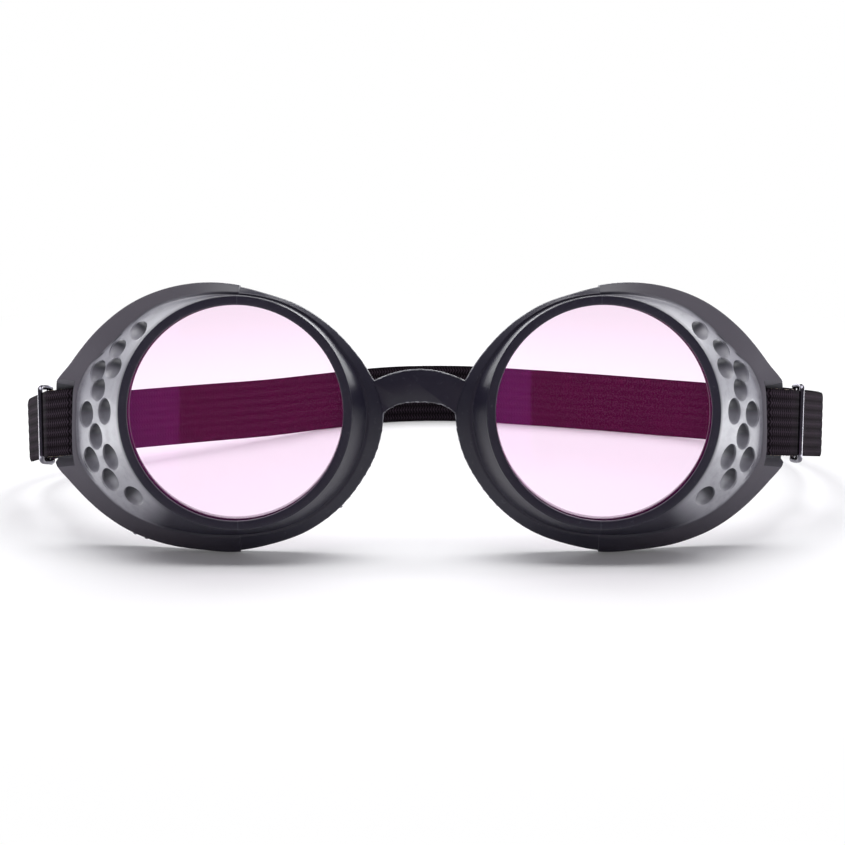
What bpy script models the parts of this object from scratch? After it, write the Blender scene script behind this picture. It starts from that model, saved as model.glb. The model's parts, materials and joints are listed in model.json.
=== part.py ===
"""Flying goggles: a moulded two-cup frame, flat tinted lenses, an elastic strap and two strap slides.

The goggles are drawn in their own axes and then stood on the floor. In those axes X runs across the face,
Y runs back from the plane of the bezels and Z runs up, with the origin midway between the lens centres.
A cup is drawn in polar form about its lens centre: 0 degrees points at the nose, 90 up, 180 at the temple.
Left and right are the wearer's: the left cup is at +X. All lengths are in metres.
"""

import math

import bmesh
import bpy
from mathutils import Matrix, Vector

# Cups: the bezel, the pocket behind it and the shell around them
LENS_RADIUS = 0.0250
NOSE_GAP = 0.016834
LENS_THICKNESS = 0.0020
LENS_BEVEL = 0.0003
FIT_GAP = 0.0003
BEZEL_OVERLAP = 0.0005
BEZEL_THICKNESS = 0.0012
BEZEL_BEVEL = 0.0004
BARREL_WALL = 0.0013
BARREL_ROUND = 0.0008
POCKET_RUN = 0.0002
RETAINER_WIDTH = 0.0009
RETAINER_DEPTH = 0.0015
RETAINER_BEVEL = 0.0002
SHELL_WALL = 0.0018
CREASE_INSET = 0.0007
CREASE_DROP = 0.0004
SHIELD_SAG = 0.0005

# Depths behind the bezel plane, at the nose, at the top and bottom, and at the temple
CREST_DEPTHS = (0.0084, 0.0070, 0.0130)
EDGE_DEPTHS = (0.0098, 0.0092, 0.0200)
RIM_DEPTHS = (0.0125, 0.0135, 0.0215)
TEMPLE_CURVE_SHARE = 1.5

# Share of the way back to the rim at which the shell's inner face ends, where the flange is too wide for a
# corner
INNER_EDGE_SHARE = 0.8

# Radii of the flange round a cup: angle in degrees, and share of the barrel's radius
CREST_SHARES = (
    (0, 1.135), (15, 1.102), (30, 1.053), (45, 1.038), (60, 1.026), (90, 1.026), (110, 1.071), (131, 1.162),
    (146, 1.211), (157, 1.282), (164, 1.357), (173, 1.406), (181, 1.414), (190, 1.436), (198, 1.451),
    (211, 1.380), (220, 1.327), (233, 1.237), (253, 1.130), (270, 1.090), (300, 1.113), (330, 1.139),
)
RIM_SHARES = (
    (0, 1.255), (15, 1.188), (30, 1.120), (45, 1.077), (60, 1.053), (75, 1.047), (90, 1.086), (105, 1.145),
    (120, 1.222), (135, 1.316), (150, 1.417), (165, 1.541), (173, 1.650), (180, 1.665), (188, 1.679),
    (196, 1.706), (203, 1.635), (210, 1.573), (225, 1.459), (240, 1.346), (255, 1.256), (270, 1.226),
    (285, 1.203), (300, 1.207), (315, 1.218), (330, 1.231), (345, 1.254),
)

# Dimples of one side shield: angle in degrees, share of the way from the barrel out to the crease, size, and
# depth, which is less where the wall behind is thin
DIMPLE_SHARES = (
    (140.2, 0.58, 0.82, 0.82), (152.0, 0.78, 0.80, 0.62), (160.4, 0.40, 0.88, 0.88), (164.3, 0.80, 0.95, 0.95),
    (171.2, 0.57, 1.0, 1.0), (179.8, 0.35, 1.0, 1.0), (181.5, 0.80, 1.0, 1.0), (190.2, 0.59, 1.0, 1.0),
    (199.8, 0.37, 1.0, 1.0), (198.6, 0.81, 1.0, 1.0), (208.6, 0.68, 1.0, 0.86), (219.4, 0.49, 0.95, 0.95),
)
DIMPLE_RADIUS = 0.0030
DIMPLE_DEPTH = 0.0018
DIMPLE_GROUPS = 3

# Bridge
BRIDGE_TOP = 0.0095
BRIDGE_UNDER = 0.0019
BRIDGE_TOP_DROP = 0.0026
BRIDGE_UNDER_DROP = 0.0026
BRIDGE_TOP_REACH = 0.0104
BRIDGE_UNDER_REACH = 0.0083
BRIDGE_SET_BACK = 0.0001
BRIDGE_THICKNESS = 0.0025
BRIDGE_SEAT_ANGLES = (13.0, -4.0)

# Webbing and the lug that each end of it is looped through
WEBBING_WIDTH = 0.0155
WEBBING_THICKNESS = 0.0012
WEBBING_GAP = 0.0003
WEBBING_LEVEL = -0.0030
LUG_BAR = 0.0016
LUG_FADE_ANGLES = (157.0, 168.0, 200.0, 211.0)
RECESS_DEPTH = 0.0018
RECESS_WALL_SET_BACK = 0.0014
RECESS_SIDE_GAP = 0.00045
RECESS_SIDE_FLARE = 0.0030
RECESS_SPREAD = 0.0010
SLOT_INSET = 0.00015
TURN_CENTRE_SET_BACK = 0.0005
LUG_CLEAR_RUN = 0.0105
LUG_BEND_RADIUS = 0.0035

# Strap: the straight doubled stretch that the slide travels on, then the loop round the head
LEAD_ANGLES = {"left": 24.0, "right": 16.0}
DROOP_ANGLES = {"left": 4.5, "right": 6.5}
LEAD_LENGTH = 0.0260
HEM_LENGTH = 0.0050
LOOP_SPREAD = 0.013911
LOOP_DEPTH = 0.1300
LOOP_LIFT = 0.0200
STRAP_STEP = 0.0045

# The loop from the right lug round to the left one: across, back and lift, the last being the height of the
# webbing's lower edge over the floor
LOOP_SHARES = (
    (-0.964, 0.440, 0.420), (-0.948, 0.512, 0.330), (-0.890, 0.580, 0.260), (-0.800, 0.640, 0.210),
    (-0.697, 0.692, 0.175), (-0.550, 0.766, 0.120), (-0.405, 0.845, 0.055), (-0.250, 0.932, 0.008),
    (-0.080, 0.988, 0.006), (0.110, 0.996, 0.006), (0.300, 0.962, 0.006), (0.500, 0.917, 0.006),
    (0.670, 0.872, 0.008), (0.825, 0.802, 0.055), (0.930, 0.715, 0.160), (0.986, 0.610, 0.285),
    (0.998, 0.510, 0.420), (0.985, 0.430, 0.535),
)

# Slide: a three-bar wire slide whose front bar is bent up over the webbing
WIRE_RADIUS = 0.00060
SLIDE_BAR_SPACING = 0.0048
SLIDE_CORNER_RADIUS = 0.0014
SLIDE_LOBE = 0.0002
SLIDE_RESTS = {"left": 0.0085, "right": 0.0062}

# Stance on the floor
LEAN_ANGLE = 10.8
CUT_OVERRUN = 0.0030

# Facets
CUP_STEPS = 64
LENS_STEPS = 64
RETAINER_STEPS = 48
DIMPLE_STEPS = 12
TURN_STEPS = 8
BEND_STEPS = 3
WIRE_STEPS = 8
CORNER_STEPS = 3
RAIL_STEPS = 8
BRIDGE_STEPS = 6

# Sizes that follow from those above
BARREL_RADIUS = LENS_RADIUS + FIT_GAP + BARREL_WALL
LENS_SPACING = NOSE_GAP + 2 * RIM_SHARES[0][1] * BARREL_RADIUS
BEZEL_RADIUS = LENS_RADIUS - BEZEL_OVERLAP
POCKET_RADIUS = LENS_RADIUS + FIT_GAP
LENS_FRONT = BEZEL_THICKNESS + FIT_GAP
RETAINER_FRONT = LENS_FRONT + LENS_THICKNESS + FIT_GAP
POCKET_END = RETAINER_FRONT + RETAINER_DEPTH + POCKET_RUN
LUG_WALL = RECESS_DEPTH + LUG_BAR
LAYER_OFFSET = LUG_BAR / 2 + WEBBING_GAP + WEBBING_THICKNESS / 2
SLOT_LENGTH = LAYER_OFFSET + WEBBING_THICKNESS / 2 - TURN_CENTRE_SET_BACK + WEBBING_GAP
RAIL_OFFSET = WEBBING_WIDTH / 2 + WEBBING_GAP + WIRE_RADIUS
END_BAR_LIFT = LAYER_OFFSET + WEBBING_THICKNESS / 2 + WEBBING_GAP + WIRE_RADIUS
SLOT_START = RECESS_WALL_SET_BACK + SLOT_INSET
TURN_RUN = SLOT_START + SLOT_LENGTH + TURN_CENTRE_SET_BACK
LUG_MIDDLE = -(RECESS_DEPTH + LUG_BAR / 2)
LUG_UP = Vector((0, 0, 1))
SIDES = {"left": 1, "right": -1}


def smooth_table(shares, angle):
    """Read a closed table of angles and shares at any angle, on a smooth curve through them."""
    angle %= 360
    count = len(shares)
    k = max(row for row in range(count) if shares[row][0] <= angle)
    rows = []
    for row in range(k - 1, k + 3):
        turns, row_in_turn = divmod(row, count)
        rows.append((shares[row_in_turn][0] + 360 * turns, shares[row_in_turn][1]))
    (a_at, a), (b_at, b), (c_at, c), (d_at, d) = rows
    t = (angle - b_at) / (c_at - b_at)
    b_slope = (c - a) / (c_at - a_at) * (c_at - b_at)
    c_slope = (d - b) / (d_at - b_at) * (c_at - b_at)
    square = 3 * (c - b) - 2 * b_slope - c_slope
    cube = 2 * (b - c) + b_slope + c_slope
    return b + t * (b_slope + t * (square + t * cube))


def temple_share(angle):
    """How far round to the temple an angle is: 0 on the nose's side, 1 at the temple."""
    return max(0.0, -math.cos(math.radians(angle))) ** TEMPLE_CURVE_SHARE


def depth_at(depths, angle):
    """A depth at an angle, blended from its values at the nose, the top and the temple."""
    nose, middle, temple = depths
    nose_share = max(0.0, math.cos(math.radians(angle)))
    return middle + nose_share * (nose - middle) + temple_share(angle) * (temple - middle)


def smoothstep(low, high, value):
    """Rise smoothly from 0 at low to 1 at high."""
    t = min(1.0, max(0.0, (value - low) / (high - low)))
    return t * t * (3 - 2 * t)


def wall_at(angle):
    """The flange's wall, which is thicker at the lug, where the recess is sunk into it."""
    start, full, end, gone = LUG_FADE_ANGLES
    share = smoothstep(start, full, angle % 360) * (1 - smoothstep(end, gone, angle % 360))
    return SHELL_WALL + share * (LUG_WALL - SHELL_WALL)


def crest_at(angle):
    """Radius and depth of the flange's inner edge."""
    return Vector((BARREL_RADIUS * smooth_table(CREST_SHARES, angle), depth_at(CREST_DEPTHS, angle)))


def edge_at(angle):
    """Radius and depth of the flange's outer edge."""
    return Vector((BARREL_RADIUS * smooth_table(RIM_SHARES, angle), depth_at(EDGE_DEPTHS, angle)))


def crease_at(angle):
    """Radius and depth of the hollow between the side shield and the flange's crest."""
    return crest_at(angle) + Vector((-CREASE_INSET, CREASE_DROP * temple_share(angle)))


def shield_at(angle, share):
    """A point of the side shield's dished face, from the barrel's front (0) out to the crease (1)."""
    start = Vector((BARREL_RADIUS, BARREL_ROUND))
    point = start.lerp(crease_at(angle), share)
    point.y += SHIELD_SAG * temple_share(angle) * 4 * share * (1 - share)
    return point


def cup_profile(angle):
    """The cup's section at an angle, as a closed list of radius and depth."""
    crest = crest_at(angle)
    edge = edge_at(angle)
    rim_depth = depth_at(RIM_DEPTHS, angle)
    wall = wall_at(angle)
    along = (edge - crest).normalized()
    inner_crest = crest + wall * Vector((-along.y, along.x))
    slope = along.x / along.y
    corner_depth = inner_crest.y + (edge.x - wall - inner_crest.x) / slope
    inner_depth = min(corner_depth, inner_crest.y + INNER_EDGE_SHARE * (rim_depth - inner_crest.y))
    inner_radius = inner_crest.x + slope * (inner_depth - inner_crest.y)
    rim_inner = min(edge.x - wall, inner_crest.x + slope * (rim_depth - inner_crest.y))
    return [
        Vector((BEZEL_RADIUS, BEZEL_THICKNESS)),
        Vector((BEZEL_RADIUS, BEZEL_BEVEL)),
        Vector((BEZEL_RADIUS + BEZEL_BEVEL, 0)),
        Vector((BARREL_RADIUS - BARREL_ROUND, 0)),
        Vector((BARREL_RADIUS, BARREL_ROUND)) - BARREL_ROUND * Vector((1, 1)) * (1 - math.sqrt(0.5)),
        shield_at(angle, 0),
        shield_at(angle, 0.5),
        shield_at(angle, 1),
        crest,
        edge,
        Vector((edge.x, rim_depth)),
        Vector((rim_inner, rim_depth)),
        Vector((inner_radius, inner_depth)),
        inner_crest,
        Vector((POCKET_RADIUS, POCKET_END)),
        Vector((POCKET_RADIUS, BEZEL_THICKNESS)),
    ]


def cup_point(side, angle, radius, depth):
    """Turn a cup's polar place into the goggles' axes."""
    across = LENS_SPACING / 2 - radius * math.cos(math.radians(angle))
    return Vector((side * across, depth, radius * math.sin(math.radians(angle))))


def link(name, mesh, parent, material=None, smooth_angle=30.0):
    """Make an object of a mesh, under a parent and with a material, shaded smooth across soft edges."""
    thing = bpy.data.objects.new(name, mesh)
    bpy.context.scene.collection.objects.link(thing)
    thing.parent = parent
    if material is not None:
        mesh.materials.append(material)
        mesh.shade_smooth()
        mesh.set_sharp_from_angle(angle=math.radians(smooth_angle))
    return thing


def finish_mesh(name, bm):
    """Turn the faces outwards and write a bmesh to a new mesh."""
    bmesh.ops.recalc_face_normals(bm, faces=bm.faces)
    mesh = bpy.data.meshes.new(name)
    bm.to_mesh(mesh)
    bm.free()
    return mesh


def add_grid(bm, rings, close_ends=False, close_rings=False):
    """Skin a list of equal rings of points, joined end to end or capped."""
    rows = [[bm.verts.new(point) for point in ring] for ring in rings]
    count = len(rows[0])
    pairs = list(zip(rows, rows[1:]))
    if close_rings:
        pairs.append((rows[-1], rows[0]))
    for first, second in pairs:
        for k in range(count):
            after = (k + 1) % count
            bm.faces.new((first[k], first[after], second[after], second[k]))
    if close_ends:
        bm.faces.new(rows[0])
        bm.faces.new(rows[-1])


def make_material(name, colour, roughness, metallic=0.0, alpha=1.0):
    """A plain Principled material."""
    material = bpy.data.materials.new(name)
    material.use_nodes = True
    shader = material.node_tree.nodes["Principled BSDF"]
    shader.inputs["Base Color"].default_value = (*colour, 1)
    shader.inputs["Roughness"].default_value = roughness
    shader.inputs["Metallic"].default_value = metallic
    shader.inputs["Alpha"].default_value = alpha
    return material


def mark_as_cutter(thing):
    """Show a helper solid as wire and keep it out of the model."""
    thing.hide_render = True
    thing.display_type = "WIRE"


def add_boolean(thing, tool, operation):
    """Cut or join a helper solid, exactly."""
    mark_as_cutter(tool)
    modifier = thing.modifiers.new(tool.name, "BOOLEAN")
    modifier.operation = operation
    modifier.solver = "EXACT"
    modifier.object = tool


def lug_axes():
    """The lug's axes in plan, on the left side: its crest point, the way out along the flange, and outwards.

    They are read where the webbing's middle crosses the flange.
    """
    crest_radius = BARREL_RADIUS * smooth_table(CREST_SHARES, 180)
    angle = 180 - math.degrees(math.asin(WEBBING_LEVEL / crest_radius))
    crest = cup_point(1, angle, *crest_at(angle))
    edge = cup_point(1, angle, *edge_at(angle))
    along = Vector((edge.x - crest.x, edge.y - crest.y)).normalized()
    outwards = Vector((along.y, -along.x))
    return Vector((crest.x, crest.y)), along, outwards


def lug_place(side, along_run, lift, level):
    """A place given in the lug's axes: run along the flange, lift off its face, and level."""
    crest, along, outwards = lug_axes()
    plan = crest + along_run * along + lift * outwards
    return Vector((side * plan.x, plan.y, level))


def add_prism(bm, side, outline):
    """A solid in the lug's axes, level with the webbing, from an outline of run, lift and half height."""
    rings = []
    for direction in (-1, 1):
        rings.append([
            lug_place(side, run, lift, WEBBING_LEVEL + direction * half) for run, lift, half in outline
        ])
    add_grid(bm, rings, close_ends=True)


def recess_half(run):
    """Half the height of the recess's floor, which spreads towards the rim."""
    end = LUG_CLEAR_RUN + CUT_OVERRUN
    share = (run - RECESS_WALL_SET_BACK) / (end - RECESS_WALL_SET_BACK)
    return WEBBING_WIDTH / 2 + RECESS_SIDE_GAP + share * RECESS_SPREAD


def make_recess_cutter(root):
    """The recess that each end of the webbing lies in, with flared sides, open past the rim."""
    bm = bmesh.new()
    start = RECESS_WALL_SET_BACK
    end = LUG_CLEAR_RUN + CUT_OVERRUN
    flare = RECESS_SIDE_FLARE * (RECESS_DEPTH + CUT_OVERRUN) / RECESS_DEPTH
    for side in SIDES.values():
        add_prism(bm, side, [
            (start, -RECESS_DEPTH, recess_half(start)), (end, -RECESS_DEPTH, recess_half(end)),
            (end, CUT_OVERRUN, recess_half(end) + flare), (start, CUT_OVERRUN, recess_half(start) + flare),
        ])
    return link("recess_cutter", finish_mesh("recess_cutter", bm), root)


def make_slot_cutter(root):
    """The slot through each lug, and the flat seat behind its bar that the webbing comes back along."""
    bm = bmesh.new()
    slot_end = SLOT_START + SLOT_LENGTH
    end = LUG_CLEAR_RUN + CUT_OVERRUN
    top = WEBBING_THICKNESS - RECESS_DEPTH
    back = -LUG_WALL - CUT_OVERRUN
    halves = {run: recess_half(run) - SLOT_INSET for run in (SLOT_START, slot_end, end)}
    for side in SIDES.values():
        add_prism(bm, side, [
            (SLOT_START, top, halves[SLOT_START]), (slot_end, top, halves[slot_end]),
            (slot_end, -LUG_WALL, halves[slot_end]), (end, -LUG_WALL, halves[end]),
            (end, back, halves[end]), (SLOT_START, back, halves[SLOT_START]),
        ])
    return link("slot_cutter", finish_mesh("slot_cutter", bm), root)


def make_dimple_cutter(root, group):
    """The balls that scoop one group of dimples out of both side shields. Balls in a group don't touch."""
    bm = bmesh.new()
    for side in SIDES.values():
        for angle, share, size, deep in DIMPLE_SHARES[group::DIMPLE_GROUPS]:
            radius = DIMPLE_RADIUS * size
            depth = DIMPLE_DEPTH * deep
            ball = (radius ** 2 + depth ** 2) / (2 * depth)
            here = cup_point(side, angle, *shield_at(angle, share))
            outer = cup_point(side, angle, *shield_at(angle, 1))
            inner = cup_point(side, angle, *shield_at(angle, 0))
            turned = cup_point(side, angle + 1, *shield_at(angle + 1, share))
            normal = (outer - inner).cross(turned - here).normalized()
            if normal.y > 0:
                normal.negate()
            turn = normal.to_track_quat("Z", "Y").to_matrix().to_4x4()
            centre = Matrix.Translation(here + (ball - depth) * normal)
            bmesh.ops.create_uvsphere(
                bm, u_segments=DIMPLE_STEPS, v_segments=DIMPLE_STEPS, radius=ball, matrix=centre @ turn
            )
    name = "dimple_cutter_" + str(group)
    return link(name, finish_mesh(name, bm), root)


def make_bridge(root):
    """The bridge, whose ends follow the flanges that it runs into."""
    outline = []
    for k in range(BRIDGE_STEPS + 1):
        share = k / BRIDGE_STEPS
        outline.append((BRIDGE_TOP_REACH * share, BRIDGE_TOP - BRIDGE_TOP_DROP * share ** 2))
    first, last = BRIDGE_SEAT_ANGLES
    for k in range(BRIDGE_STEPS + 1):
        angle = first + (last - first) * k / BRIDGE_STEPS
        seat = cup_point(1, angle, edge_at(angle).x - SHELL_WALL / 2, 0)
        outline.append((seat.x, seat.z))
    for k in range(BRIDGE_STEPS + 1):
        share = 1 - k / BRIDGE_STEPS
        outline.append((BRIDGE_UNDER_REACH * share, BRIDGE_UNDER - BRIDGE_UNDER_DROP * share ** 3))
    mirrored = [(-across, up) for across, up in reversed(outline) if across > 0]
    front = depth_at(EDGE_DEPTHS, 0) + BRIDGE_SET_BACK
    rings = [
        [Vector((across, depth, up)) for across, up in outline + mirrored]
        for depth in (front, front + BRIDGE_THICKNESS)
    ]
    bm = bmesh.new()
    add_grid(bm, rings, close_ends=True)
    return link("bridge_blank", finish_mesh("bridge_blank", bm), root)


def make_frame(root, material):
    """Both cups and the bridge as one moulding, with its recesses, slots and dimples."""
    bm = bmesh.new()
    for side in SIDES.values():
        rings = []
        for k in range(CUP_STEPS):
            angle = 360 * k / CUP_STEPS
            rings.append([cup_point(side, angle, *place) for place in cup_profile(angle)])
        add_grid(bm, rings, close_rings=True)
    frame = link("frame", finish_mesh("frame", bm), root, material)
    add_boolean(frame, make_bridge(root), "UNION")
    add_boolean(frame, make_recess_cutter(root), "DIFFERENCE")
    add_boolean(frame, make_slot_cutter(root), "DIFFERENCE")
    for group in range(DIMPLE_GROUPS):
        add_boolean(frame, make_dimple_cutter(root, group), "DIFFERENCE")
    return frame


def make_lens(name, side, root, material):
    """A flat round lens with bevelled edges."""
    bm = bmesh.new()
    bmesh.ops.create_cone(
        bm, cap_ends=True, segments=LENS_STEPS, radius1=LENS_RADIUS, radius2=LENS_RADIUS,
        depth=LENS_THICKNESS, matrix=Matrix.Rotation(math.pi / 2, 4, "X"),
    )
    rims = [edge for edge in bm.edges if any(len(face.verts) > 4 for face in edge.link_faces)]
    bmesh.ops.bevel(bm, geom=rims, offset=LENS_BEVEL, segments=1, affect="EDGES")
    lens = link(name, finish_mesh(name, bm), root, material)
    lens.location = (side * LENS_SPACING / 2, LENS_FRONT + LENS_THICKNESS / 2, 0)
    return lens


def make_retaining_ring(name, side, root, material):
    """The plain ring behind a lens, with bevelled corners."""
    outer = LENS_RADIUS
    inner = LENS_RADIUS - RETAINER_WIDTH
    profile = []
    for radius, depth, in_radius, in_depth in (
        (inner, 0, 1, 1), (outer, 0, -1, 1), (outer, RETAINER_DEPTH, -1, -1), (inner, RETAINER_DEPTH, 1, -1),
    ):
        near_depth = (radius, depth + in_depth * RETAINER_BEVEL)
        near_radius = (radius + in_radius * RETAINER_BEVEL, depth)
        profile += [near_depth, near_radius] if in_radius == in_depth else [near_radius, near_depth]
    rings = []
    for k in range(RETAINER_STEPS):
        angle = math.tau * k / RETAINER_STEPS
        rings.append([Vector((r * math.cos(angle), depth, r * math.sin(angle))) for r, depth in profile])
    bm = bmesh.new()
    add_grid(bm, rings, close_rings=True)
    ring = link(name, finish_mesh(name, bm), root, material)
    ring.location = (side * LENS_SPACING / 2, RETAINER_FRONT, 0)
    return ring


def lug_webbing(name, run, lift):
    """A place on the webbing where it is looped through the lug, drooping from the slot outwards."""
    drop = math.tan(math.radians(DROOP_ANGLES[name])) * (run - TURN_RUN)
    return lug_place(SIDES[name], run, lift, WEBBING_LEVEL - drop)


def lug_angle():
    """The lug's direction in plan, from straight back towards the side."""
    along = lug_axes()[1]
    return math.atan2(along.x, along.y)


def webbing_axes(name, angle):
    """The webbing's direction, outward normal and upward direction where it runs back at an angle in plan."""
    side = SIDES[name]
    droop = math.radians(DROOP_ANGLES[name])
    level = math.cos(droop)
    direction = Vector((side * math.sin(angle) * level, math.cos(angle) * level, -math.sin(droop)))
    normal = Vector((side * math.cos(angle), -math.sin(angle), 0))
    return direction, normal, side * normal.cross(direction)


def lead_axes(name):
    """Start, direction, outward normal and upward direction of a side's straight doubled stretch.

    The stretch starts where the bend behind the lug ends, midway between its two layers.
    """
    angle = math.radians(LEAD_ANGLES[name])
    direction, normal, upward = webbing_axes(name, angle)
    lug_normal = webbing_axes(name, lug_angle())[1]
    fall = LUG_BEND_RADIUS * (lug_angle() - angle) * math.tan(math.radians(DROOP_ANGLES[name]))
    start = lug_webbing(name, LUG_CLEAR_RUN, LUG_MIDDLE) + LUG_BEND_RADIUS * (normal - lug_normal)
    start.z -= fall
    return start, direction, normal, upward


class Station:
    """One section of the webbing: its middle, its upward direction, and its two faces' offsets."""

    def __init__(self, place, upward, thick=0.0):
        self.place = place
        self.upward = upward
        self.low = -WEBBING_THICKNESS / 2
        self.high = WEBBING_THICKNESS / 2 + thick


def bend_station(name, offset, share):
    """A section in the bend between the straight stretch (0) and the lug (1), off the middle by an offset."""
    start, _, normal, upward = lead_axes(name)
    lead_angle = math.radians(LEAD_ANGLES[name])
    turn = share * (lug_angle() - lead_angle)
    turned_normal = webbing_axes(name, lead_angle + turn)[1]
    place = start - LUG_BEND_RADIUS * normal + (LUG_BEND_RADIUS + offset) * turned_normal
    place.z += LUG_BEND_RADIUS * turn * math.tan(math.radians(DROOP_ANGLES[name]))
    return Station(place, upward.lerp(LUG_UP, share).normalized())


def end_stations(name):
    """The webbing from a hem, forward inside the lug, round its bar and back along the straight stretch."""
    start, direction, normal, upward = lead_axes(name)
    stations = []
    hem_front = LEAD_LENGTH - HEM_LENGTH
    for run, thick in (
        (LEAD_LENGTH, WEBBING_THICKNESS), (hem_front, WEBBING_THICKNESS), (hem_front - WEBBING_GAP, 0.0),
        (hem_front / 2, 0.0),
    ):
        stations.append(Station(start + run * direction - LAYER_OFFSET * normal, upward, thick))
    for k in range(BEND_STEPS + 1):
        stations.append(bend_station(name, -LAYER_OFFSET, k / BEND_STEPS))
    for k in range(TURN_STEPS + 1):
        angle = math.pi * k / TURN_STEPS
        run = TURN_RUN - LAYER_OFFSET * math.sin(angle)
        lift = LUG_MIDDLE - LAYER_OFFSET * math.cos(angle)
        stations.append(Station(lug_webbing(name, run, lift), LUG_UP))
    for k in range(BEND_STEPS + 1):
        stations.append(bend_station(name, LAYER_OFFSET, 1 - k / BEND_STEPS))
    for share in (0.25, 0.5, 0.75, 1.0):
        stations.append(Station(start + share * LEAD_LENGTH * direction + LAYER_OFFSET * normal, upward))
    return stations


def stance():
    """How the goggles stand: the turn that leans them back, and the origin's height over the floor."""
    lean = Matrix.Rotation(-math.radians(LEAN_ANGLE), 4, "X")
    lowest = 0.0
    for k in range(CUP_STEPS):
        angle = 360 * k / CUP_STEPS
        rim = cup_point(1, angle, edge_at(angle).x, depth_at(RIM_DEPTHS, angle))
        lowest = min(lowest, (lean @ rim).z)
    return lean, -lowest


def loop_stations(before, after):
    """The loop round the head, on a smooth curve between the two straight stretches."""
    lean, height = stance()
    unlean = lean.inverted()
    half_width = LENS_SPACING / 2 + BARREL_RADIUS * smooth_table(RIM_SHARES, 180) + LOOP_SPREAD
    floor_up = unlean.to_3x3() @ Vector((0, 0, 1))
    places = [station.place for station in before]
    ups = [station.upward for station in before]
    for across, back, lift in LOOP_SHARES:
        plan = Vector((across * half_width, back * LOOP_DEPTH, 0))
        level = WEBBING_WIDTH / 2 + lift * LOOP_LIFT - height
        plan.z = (level - (lean @ plan).z) / math.cos(math.radians(LEAN_ANGLE))
        places.append(plan)
        ups.append(floor_up)
    places += [station.place for station in after]
    ups += [station.upward for station in after]
    stations = []
    for k in range(1, len(places) - 2):
        a, b, c, d = places[k - 1:k + 3]
        steps = max(1, round((c - b).length / STRAP_STEP))
        for step in range(steps):
            if k == 1 and step == 0:
                continue
            t = step / steps
            place = b + t * (c - a + t * (2 * a - 5 * b + 4 * c - d + t * (3 * b - a - 3 * c + d))) / 2
            stations.append(Station(place, ups[k].lerp(ups[k + 1], t).normalized()))
    return stations


def make_head_strap(root, material):
    """The webbing as one ribbon, doubled back through both lugs and hemmed at both ends."""
    right = end_stations("right")
    left = end_stations("left")
    left.reverse()
    stations = right + loop_stations(right[-2:], left[:2]) + left
    rings = []
    for k, station in enumerate(stations):
        before = stations[max(0, k - 1)].place
        after = stations[min(len(stations) - 1, k + 1)].place
        tangent = (after - before).normalized()
        normal = tangent.cross(station.upward).normalized()
        half = WEBBING_WIDTH / 2 * station.upward
        rings.append([
            station.place + station.low * normal - half, station.place + station.high * normal - half,
            station.place + station.high * normal + half, station.place + station.low * normal + half,
        ])
    bm = bmesh.new()
    add_grid(bm, rings, close_ends=True)
    return link("head_strap", finish_mesh("head_strap", bm), root, material)


def slide_path():
    """The slide's outer wire, round the front and rear bars and two rails, in the slide's own axes.

    X runs back along the strap, Y across it and Z outwards. The origin is the middle of the middle bar.
    The rails bow out on each side of it, and rise in front of it to the front bar.
    """
    half_run = SLIDE_BAR_SPACING
    points = []
    quarters = ((1, 1, 0), (-1, 1, 90), (-1, -1, 180), (1, -1, 270))
    for along, across, turn in quarters:
        inset = SLIDE_CORNER_RADIUS
        centre = Vector((along * (half_run - inset), across * (RAIL_OFFSET - inset)))
        for k in range(CORNER_STEPS + 1):
            angle = math.radians(turn + 90 * k / CORNER_STEPS)
            points.append(centre + SLIDE_CORNER_RADIUS * Vector((math.cos(angle), math.sin(angle))))
        if along == across:
            rail = half_run - SLIDE_CORNER_RADIUS
            for k in range(1, RAIL_STEPS):
                run = rail * (1 - 2 * k / RAIL_STEPS)
                points.append(Vector((along * run, across * RAIL_OFFSET)))
    shaped = []
    for point in points:
        bow = SLIDE_LOBE * math.sin(math.pi * point.x / half_run) ** 2 * math.copysign(1, point.y)
        lift = END_BAR_LIFT * (1 - math.cos(math.pi * min(0.0, point.x) / half_run)) / 2
        shaped.append(Vector((point.x, point.y + bow, lift)))
    return shaped


def wire_rings(points, closed):
    """Rings of a round wire along a path."""
    rings = []
    count = len(points)
    for k, point in enumerate(points):
        before = points[(k - 1) % count] if closed or k > 0 else point
        after = points[(k + 1) % count] if closed or k < count - 1 else point
        tangent = (after - before).normalized()
        across = tangent.cross(Vector((0, 0, 1))).normalized()
        upward = across.cross(tangent)
        ring = []
        for step in range(WIRE_STEPS):
            angle = math.tau * (step + 0.5) / WIRE_STEPS
            ring.append(point + WIRE_RADIUS * (math.cos(angle) * across + math.sin(angle) * upward))
        rings.append(ring)
    return rings


def make_slide(name, side_name, root, material):
    """A three-bar slide, hung on an empty that stands on its path along the strap."""
    start, direction, normal, _ = lead_axes(side_name)
    across = normal.cross(direction)
    carrier = bpy.data.objects.new(name + "_path", None)
    bpy.context.scene.collection.objects.link(carrier)
    carrier.parent = root
    turn = Matrix((direction, across, normal)).transposed().to_4x4()
    carrier.matrix_local = Matrix.Translation(start + SLIDE_RESTS[side_name] * direction) @ turn
    bm = bmesh.new()
    add_grid(bm, wire_rings(slide_path(), closed=True), close_rings=True)
    slide = link(name, finish_mesh(name, bm), carrier, material)
    bar = bmesh.new()
    ends = [Vector((0, -RAIL_OFFSET, 0)), Vector((0, RAIL_OFFSET, 0))]
    add_grid(bar, wire_rings(ends, closed=False), close_ends=True)
    add_boolean(slide, link(name + "_bar_blank", finish_mesh(name + "_bar_blank", bar), carrier), "UNION")
    return slide


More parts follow.
